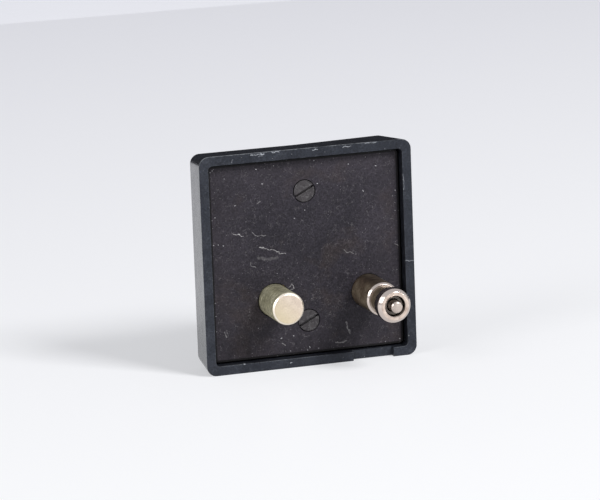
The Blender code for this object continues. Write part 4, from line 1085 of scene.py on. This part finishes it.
def make_plate_paint():
    finish = Finish("plate_paint")
    tree = finish.tree
    base = finish.layers(7.0, (0.0135, 0.0122, 0.0160), (0.0222, 0.0196, 0.0252))
    # Painted light: paler towards the top right, where the key light comes from, and darker towards
    # the bottom left.
    painted_light_slope = calc(tree, "MULTIPLY_ADD", finish.axis("X"), 0.3, finish.axis("Z"))
    base.shade(remap(tree, painted_light_slope, -20.0, 20.0, 0.86, 1.22))
    brown = finish.clouds(8.0, -0.6, 0.36, shift=(9.0, 0.0, 4.0))
    base.cover(larger(tree, brown, 0.0), (0.034, 0.0250, 0.0215))
    base.shade(finish.clouds(0.34, 0.5, 1.6))
    edge = finish.effect(SQUARE_DISTANCE, half=PLATE_HALF / MM, corner=POCKET_CORNER / MM)
    # Painted light and shade: paler patches near the edges, so that the middle stays darker.
    paler_patches = times(tree, remap(tree, edge, 0.0, 12.0, 1.0, 0.0, smooth=True),
                   finish.clouds(1.2, 0.2, 1.0))
    base.cover(paler_patches, (0.044, 0.037, 0.045), 0.4)
    lint = finish.effect(HAIRS, size=1.5, thickness=0.014, share=0.58)
    base.cover(lint, (0.18, 0.17, 0.175), 0.28)
    marks = finish.strokes(PLATE_MARKS)
    base.cover(marks, (0.42, 0.41, 0.41))
    spots = finish.strokes([((x, z), (x + SPECK_LENGTH, z), radius, 1.0)
                            for x, z, radius in PLATE_SPECKS])
    base.cover(spots, (0.60, 0.60, 0.62))
    dust = finish.effect(SPECKS, spacing=0.7, share=0.3, radius=0.06)
    base.cover(dust, (0.34, 0.32, 0.34), 0.45)
    settled = times(tree, finish.effect(SPECKS, spacing=0.6, share=0.5, radius=0.1),
                    remap(tree, edge, 0.5, 1.6, 0.7, 0.0))
    base.cover(settled, (0.46, 0.45, 0.47))
    # Painted shadow: a near-black line along the plate's edge, where the gap to the rim lies in
    # shade.
    painted_gap_shadow = remap(tree, edge, 0.32, 0.52, 0.85, 0.0)
    base.cover(painted_gap_shadow, (0.002, 0.002, 0.002))
    finish.give("Base Color", base.colour)
    finish.give("Specular IOR Level", 0.13)
    finish.give("Roughness", finish.clouds(1.5, 0.42, 0.58))
    grain = noise(tree, finish.point, 0.25, detail=4.0)
    finish.bump(calc(tree, "ADD", grain, marks), 0.015 * MM)
    return finish


wear(make_plate_paint(), plate)

# %% [markdown]
# ## Blackened screws
#
# The screws are turned steel, blackened and handled, so they are a little paler and greyer than
# the plate. The tool's rings show faintly on their heads, and the slot's edges are rubbed.

# %% Screw blacking


def make_screw_blacking(name, axis):
    finish = Finish(name, metallic=0.35)
    rings = finish.turn_marks(axis, 0.16, 0.006 * MM)
    base = finish.layers(0.7, (0.031, 0.028, 0.030), (0.053, 0.048, 0.051))
    bright = finish.effect(HAIRS, size=0.7, thickness=0.05, share=0.6)
    base.cover(bright, (0.2, 0.2, 0.2), 0.3)
    finish.give("Base Color", base.colour)
    finish.give("Specular IOR Level", 0.25)
    finish.give("Roughness", remap(finish.tree, rings, 0.3, 0.7, 0.42, 0.56))
    return finish


for end, screw, axis in zip(("upper", "lower"), plate_screws, screw_axes):
    wear(make_screw_blacking("screw_blacking_" + end, axis), screw)

# %% [markdown]
# ## Turned metal: the two pins
#
# The guide pin is nickel that has gone olive and dull, with its end rubbed bright. The plug's
# shank and neck carry a dark brown tarnish with paler olive patches, while its shoulder and
# contact ring are polished by use. One material per pin does it, because a mask by depth
# tells the zones apart, just as a hand that rubs the pin reaches some zones and not others.

# %% Guide pin finish


def make_guide_nickel():
    finish = Finish("guide_nickel")
    tree = finish.tree
    base = finish.layers(2.5, (0.235, 0.22, 0.140), (0.38, 0.36, 0.255))
    base.shade(finish.clouds(0.6, 0.62, 1.4))
    # Painted light: lighter on the side that faces the left lamp, darker on the other sides.
    base.shade(remap(tree, finish.facing((-1, 0, 0)), 0.1, 0.85, 0.86, 1.4))
    stain = finish.effect(HAIRS, size=1.3, thickness=0.12, share=0.6)
    base.cover(stain, (0.13, 0.115, 0.07), 0.4)
    end = finish.layers(1.2, (0.59, 0.49, 0.40), (0.70, 0.60, 0.50))
    depth = finish.axis("Y")
    tip = GUIDE_TIP / MM
    at_end = remap(tree, depth, tip + 0.25, tip + GUIDE_CHAMFER / MM, 1.0, 0.0)
    at_face = remap(tree, depth, tip + 0.01, tip + 0.1, 1.0, 0.0)
    chamfer = calc(tree, "SUBTRACT", at_end, at_face, clamp=True)
    end.shade(finish.clouds(0.35, 0.88, 1.1))
    yellow = remap(tree, calc(tree, "ADD", finish.axis("X"), finish.axis("Z")), -13.0, -19.0)
    end.cover(yellow, (0.66, 0.57, 0.36), 0.6)
    base.cover(at_end, end.colour)
    base.cover(chamfer, (0.84, 0.76, 0.66))
    finish.give("Base Color", base.colour)
    finish.give("Metallic", remap(tree, at_end, 0.0, 1.0, 0.5, 1.0))
    finish.give("Roughness", calc(tree, "MULTIPLY_ADD", at_end, -0.2,
                                  finish.clouds(1.0, 0.5, 0.62)))
    finish.turn_marks(guide_axis, 0.14, 0.004 * MM)
    return finish


wear(make_guide_nickel(), guide)

# %% Plug finish


def between(tree, value, low, high, soft=0.05):
    """1 where a value lies between two others, with soft ends."""
    return times(tree, remap(tree, value, low - soft, low + soft),
                 remap(tree, value, high - soft, high + soft, 1.0, 0.0))


def make_plug_metal():
    finish = Finish("plug_metal")
    tree = finish.tree
    depth = finish.axis("Y")
    neck, shoulder = NECK_FRONT / MM, (SHOULDER - SHOULDER_BEVEL) / MM
    base = finish.layers(1.6, (0.070, 0.047, 0.032), (0.145, 0.108, 0.074))
    olive = finish.clouds(3.0, -0.4, 0.8, shift=(5.0, 2.0, 7.0))
    base.cover(larger(tree, olive, 0.0), (0.26, 0.215, 0.15))
    # Painted highlight: a lighter strip where the shank faces left and up, towards the left lamp,
    # darker elsewhere.
    base.shade(remap(tree, finish.facing((-0.88, 0, 0.2)), 0.45, 0.9, 0.75, 2.1, smooth=True))
    base.shade(finish.clouds(0.5, 0.7, 1.35))
    base.cover(between(tree, depth, neck, shoulder), (0.085, 0.066, 0.042), 0.6)
    polish = finish.layers(1.0, (0.45, 0.35, 0.295), (0.73, 0.62, 0.54))
    pits = finish.effect(SPECKS, spacing=1.6, share=0.4, radius=0.2)
    polish.cover(pits, (0.20, 0.15, 0.11), 0.7)
    on_ring = remap(tree, depth, neck - 0.1, neck + 0.1, 1.0, 0.0)
    bright = larger(tree, on_ring, between(tree, depth, shoulder, SHOULDER / MM))
    on_face = remap(tree, finish.facing((0, -1, 0)), 0.86, 0.97)
    polish.cover(less(tree, 1.0, on_face), (0.56, 0.485, 0.44))
    base.cover(bright, polish.colour)
    finish.give("Base Color", base.colour)
    finish.give("Metallic", remap(tree, bright, 0.0, 1.0, 0.8, 1.0))
    gloss = remap(tree, on_face, 0.0, 1.0, 0.15, 0.24)
    finish.give("Roughness", remap(tree, bright, 0.0, 1.0, 0.42, gloss))
    finish.turn_marks(plug_axis, 0.12, 0.003 * MM)
    return finish


wear(make_plug_metal(), plug)


def make_turned_metal(name, axis, dark, light, roughness, lines=0.003):
    """Plain turned metal: patches, fine rings, and a roughness that varies a little."""
    finish = Finish(name, metallic=1.0)
    base = finish.layers(1.5, dark, light)
    pits = finish.effect(SPECKS, spacing=1.1, share=0.3, radius=0.12)
    base.cover(pits, tuple(0.4 * value for value in dark), 0.5)
    finish.give("Base Color", base.colour)
    finish.give("Roughness", finish.clouds(0.9, roughness - 0.04, roughness + 0.06))
    finish.turn_marks(axis, 0.12, lines * MM)
    return finish


wear(make_turned_metal("centre_pin_nickel", plug_axis, (0.42, 0.35, 0.31), (0.56, 0.49, 0.44),
                       0.24), centre_pin)

# %% [markdown]
# ## Bush, button and collar
#
# The insulating bush in the plug is a dark moulded resin with a sawn, greyish front face. The
# button is the case's plastic, worn glossy where thumbs press it, and its collar is plated
# bright and turned.

# %% Bush, button and collar


def make_resin(name, dark, light, roughness, size=0.8):
    """Moulded resin: soft patches, a fine skin and a few pale scratches."""
    finish = Finish(name)
    base = finish.layers(size, dark, light)
    scratch = finish.effect(HAIRS, size=size * 1.5, thickness=0.03, share=0.5)
    base.cover(scratch, tuple(3 * value for value in light), 0.3)
    finish.give("Base Color", base.colour)
    finish.give("Roughness", finish.clouds(size * 0.6, roughness - 0.06, roughness + 0.08))
    finish.bump(noise(finish.tree, finish.point, 0.2), 0.006 * MM)
    return finish


wear(make_resin("bush_resin", (0.10, 0.088, 0.075), (0.19, 0.17, 0.15), 0.45), bush)
wear(make_resin("button_plastic", (0.010, 0.011, 0.014), (0.018, 0.019, 0.023), 0.34, 2.0), button)
wear(make_turned_metal("collar_bright", button_axis, (0.60, 0.585, 0.57), (0.74, 0.73, 0.71),
                       0.16, 0.002), collar)

# %% [markdown]
# ## The works inside
#
# The pieces inside only show if someone takes the plate off, so the frame's own meshes do,
# with real finishes: turned brass, spring steel, phosphor bronze, laminated board and the
# insulation of two leads.

# %% Inner pieces
BRASS_PIECES = ("threaded_insert_upper", "threaded_insert_lower", "guide_pin_nut", "plug_nut",
                "ground_tag", "centre_terminal", "plunger_bush", "fixed_contact_rivet",
                "leaf_rivet_left", "leaf_rivet_right")
STEEL_PIECES = ("switch_screw_left", "switch_screw_right", "plunger")
BRONZE_PIECES = ("contact_leaf", "fixed_contact")


def make_drawn_metal(name, dark, light, roughness):
    """Drawn or rolled metal: patches, and fine lines along it."""
    finish = Finish(name, metallic=1.0)
    tree = finish.tree
    along = vector_calc(tree, "MULTIPLY", finish.point, (1.0, 1.0, 0.08))
    lines = noise(tree, along, 0.15)
    finish.give("Base Color", finish.layers(1.5, dark, light).colour)
    finish.give("Roughness", remap(tree, lines, 0.3, 0.7, roughness - 0.06, roughness + 0.08))
    finish.bump(lines, 0.003 * MM)
    return finish


def nodes_named(names):
    return [NODES[name] for name in names]


for name in BRASS_PIECES:
    wear(make_turned_metal("brass_" + name, middle_of(name), (0.52, 0.36, 0.15),
                           (0.76, 0.56, 0.27), 0.32), NODES[name])
wear(make_drawn_metal("spring_steel_finish", (0.36, 0.35, 0.34), (0.56, 0.55, 0.54), 0.32),
     button_coil, pin_coil, *nodes_named(STEEL_PIECES))
wear(make_drawn_metal("phosphor_bronze", (0.50, 0.29, 0.15), (0.72, 0.46, 0.27), 0.3),
     *nodes_named(BRONZE_PIECES))
wear(make_resin("laminated_board", (0.12, 0.052, 0.020), (0.19, 0.09, 0.04), 0.5, 1.2),
     *nodes_named(("switch_base", "leaf_spacer")))
wear(make_resin("red_insulation", (0.30, 0.016, 0.014), (0.40, 0.03, 0.025), 0.45),
     NODES["signal_lead"])
wear(make_resin("black_insulation", (0.014, 0.014, 0.015), (0.024, 0.024, 0.026), 0.45),
     NODES["ground_lead"])

# %% [markdown]
# ## The floor and the lights
#
# The object stands on a white table that fills the whole picture. The table's colour and glow turn
# a little greyer and bluer far away, as painted shade where the light falls off. The object's
# shadow on the table is so faint that the table must be lit from below as well, like the opal
# glass of a light table, so half of the table's brightness is its own glow. The key light is a
# large soft lamp at the upper right, which throws the pins' soft shadows to the lower left, and a
# weaker one at the left opens them. A third lamp is there for reflections alone: it gives the
# turned bevels their second bright patch. The case's top is nearly black in the photograph
# although it lies almost edge on, which only happens when it mirrors something dark. So a dark
# card stands behind, also seen by reflections alone.

# %% Floor and dark card
FLOOR_RADIUS = 4.0
FLOOR_NEAR = (0.42, 0.42, 0.425)
FLOOR_UNDER_LAMP = (0.26, 0.26, 0.263)
FLOOR_FAR = (0.45, 0.453, 0.48)
GLOW_NEAR = (0.455, 0.46, 0.465)
GLOW_FAR = (0.36, 0.36, 0.39)
CARD_HALF = (1.3, 0.6, 1)
CARD_PLACE = (0.2, 0.5, 0.58)
CARD_BLACK = (0.008, 0.008, 0.009)


def add_floor():
    bm = bmesh.new()
    bmesh.ops.create_circle(bm, cap_ends=True, radius=FLOOR_RADIUS, segments=64)
    floor = finish_mesh("floor", bm)
    finish = Finish("table_top", roughness=0.55)
    depth = finish.axis("Y")
    # Painted shade: the colour and the glow grow greyer and bluer far away, where the light falls
    # off.
    far = remap(finish.tree, depth, -150.0, 650.0)
    colour = tint(finish.tree, far, FLOOR_NEAR, FLOOR_FAR)
    under_lamp = remap(finish.tree, depth, -250.0, -900.0)
    finish.give("Base Color", tint(finish.tree, under_lamp, colour, FLOOR_UNDER_LAMP))
    finish.give("Emission Color", tint(finish.tree, far, GLOW_NEAR, GLOW_FAR))
    finish.give("Emission Strength", 1.0)
    wear(finish, floor)
    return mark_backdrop(floor)


def add_dark_card():
    """A card behind the object that only reflections see."""
    bm = bmesh.new()
    bmesh.ops.create_grid(bm, x_segments=1, y_segments=1, size=1.0)
    bmesh.ops.scale(bm, vec=CARD_HALF, verts=bm.verts)
    bmesh.ops.rotate(bm, cent=(0, 0, 0), matrix=Matrix.Rotation(math.pi / 2, 3, "X"),
                     verts=bm.verts)
    bmesh.ops.translate(bm, vec=CARD_PLACE, verts=bm.verts)
    card = finish_mesh("dark_card", bm)
    felt = Finish("black_felt", roughness=1.0)
    felt.give("Base Color", CARD_BLACK)
    wear(felt, card)
    for seen_by in ("camera", "diffuse", "transmission", "volume_scatter", "shadow"):
        setattr(card, "visible_" + seen_by, False)
    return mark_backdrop(card)


add_floor()
add_dark_card()

# %% Lights
CENTRE = (0, 0, MIDDLE)


def area_light(name, place, side, power):
    """A soft square lamp that looks at the middle of the case."""
    lamp = bpy.data.lights.new(name, "AREA")
    lamp.size = side
    lamp.energy = power
    item = bpy.data.objects.new(name, lamp)
    item.location = place
    item.rotation_euler = (Vector(CENTRE) - Vector(place)).to_track_quat("-Z", "Y").to_euler()
    bpy.context.scene.collection.objects.link(item)
    print("%s lamp: %.1f W" % (name, power))
    return item


area_light("key", (0.65, -0.95, 1.0), 0.48, 24.6)
area_light("fill", (-1.1, -0.5, 0.6), 0.6, 8)
area_light("side", (1.3, -0.95, 0.64), 0.4, 4).visible_diffuse = False

# %% World
WORLD_COLOUR = (0.90, 0.92, 0.97)
WORLD_SEEN = 0.85
WORLD_LIGHT = 0.36


def add_world():
    """A pale room: full strength to the eye and to reflections, less as a light."""
    world = bpy.data.worlds.new("studio")
    bpy.context.scene.world = world
    world.use_nodes = True
    tree = world.node_tree
    path = tree.nodes.new("ShaderNodeLightPath")
    mirrored = larger(tree, path.outputs["Is Glossy Ray"], path.outputs["Is Transmission Ray"])
    seen = larger(tree, path.outputs["Is Camera Ray"], mirrored)
    background = tree.nodes["Background"]
    connect(tree, background.inputs["Color"], WORLD_COLOUR)
    connect(tree, background.inputs["Strength"],
            remap(tree, seen, 0.0, 1.0, WORLD_LIGHT, WORLD_SEEN))


add_world()
bpy.context.scene.view_settings.view_transform = "Standard"
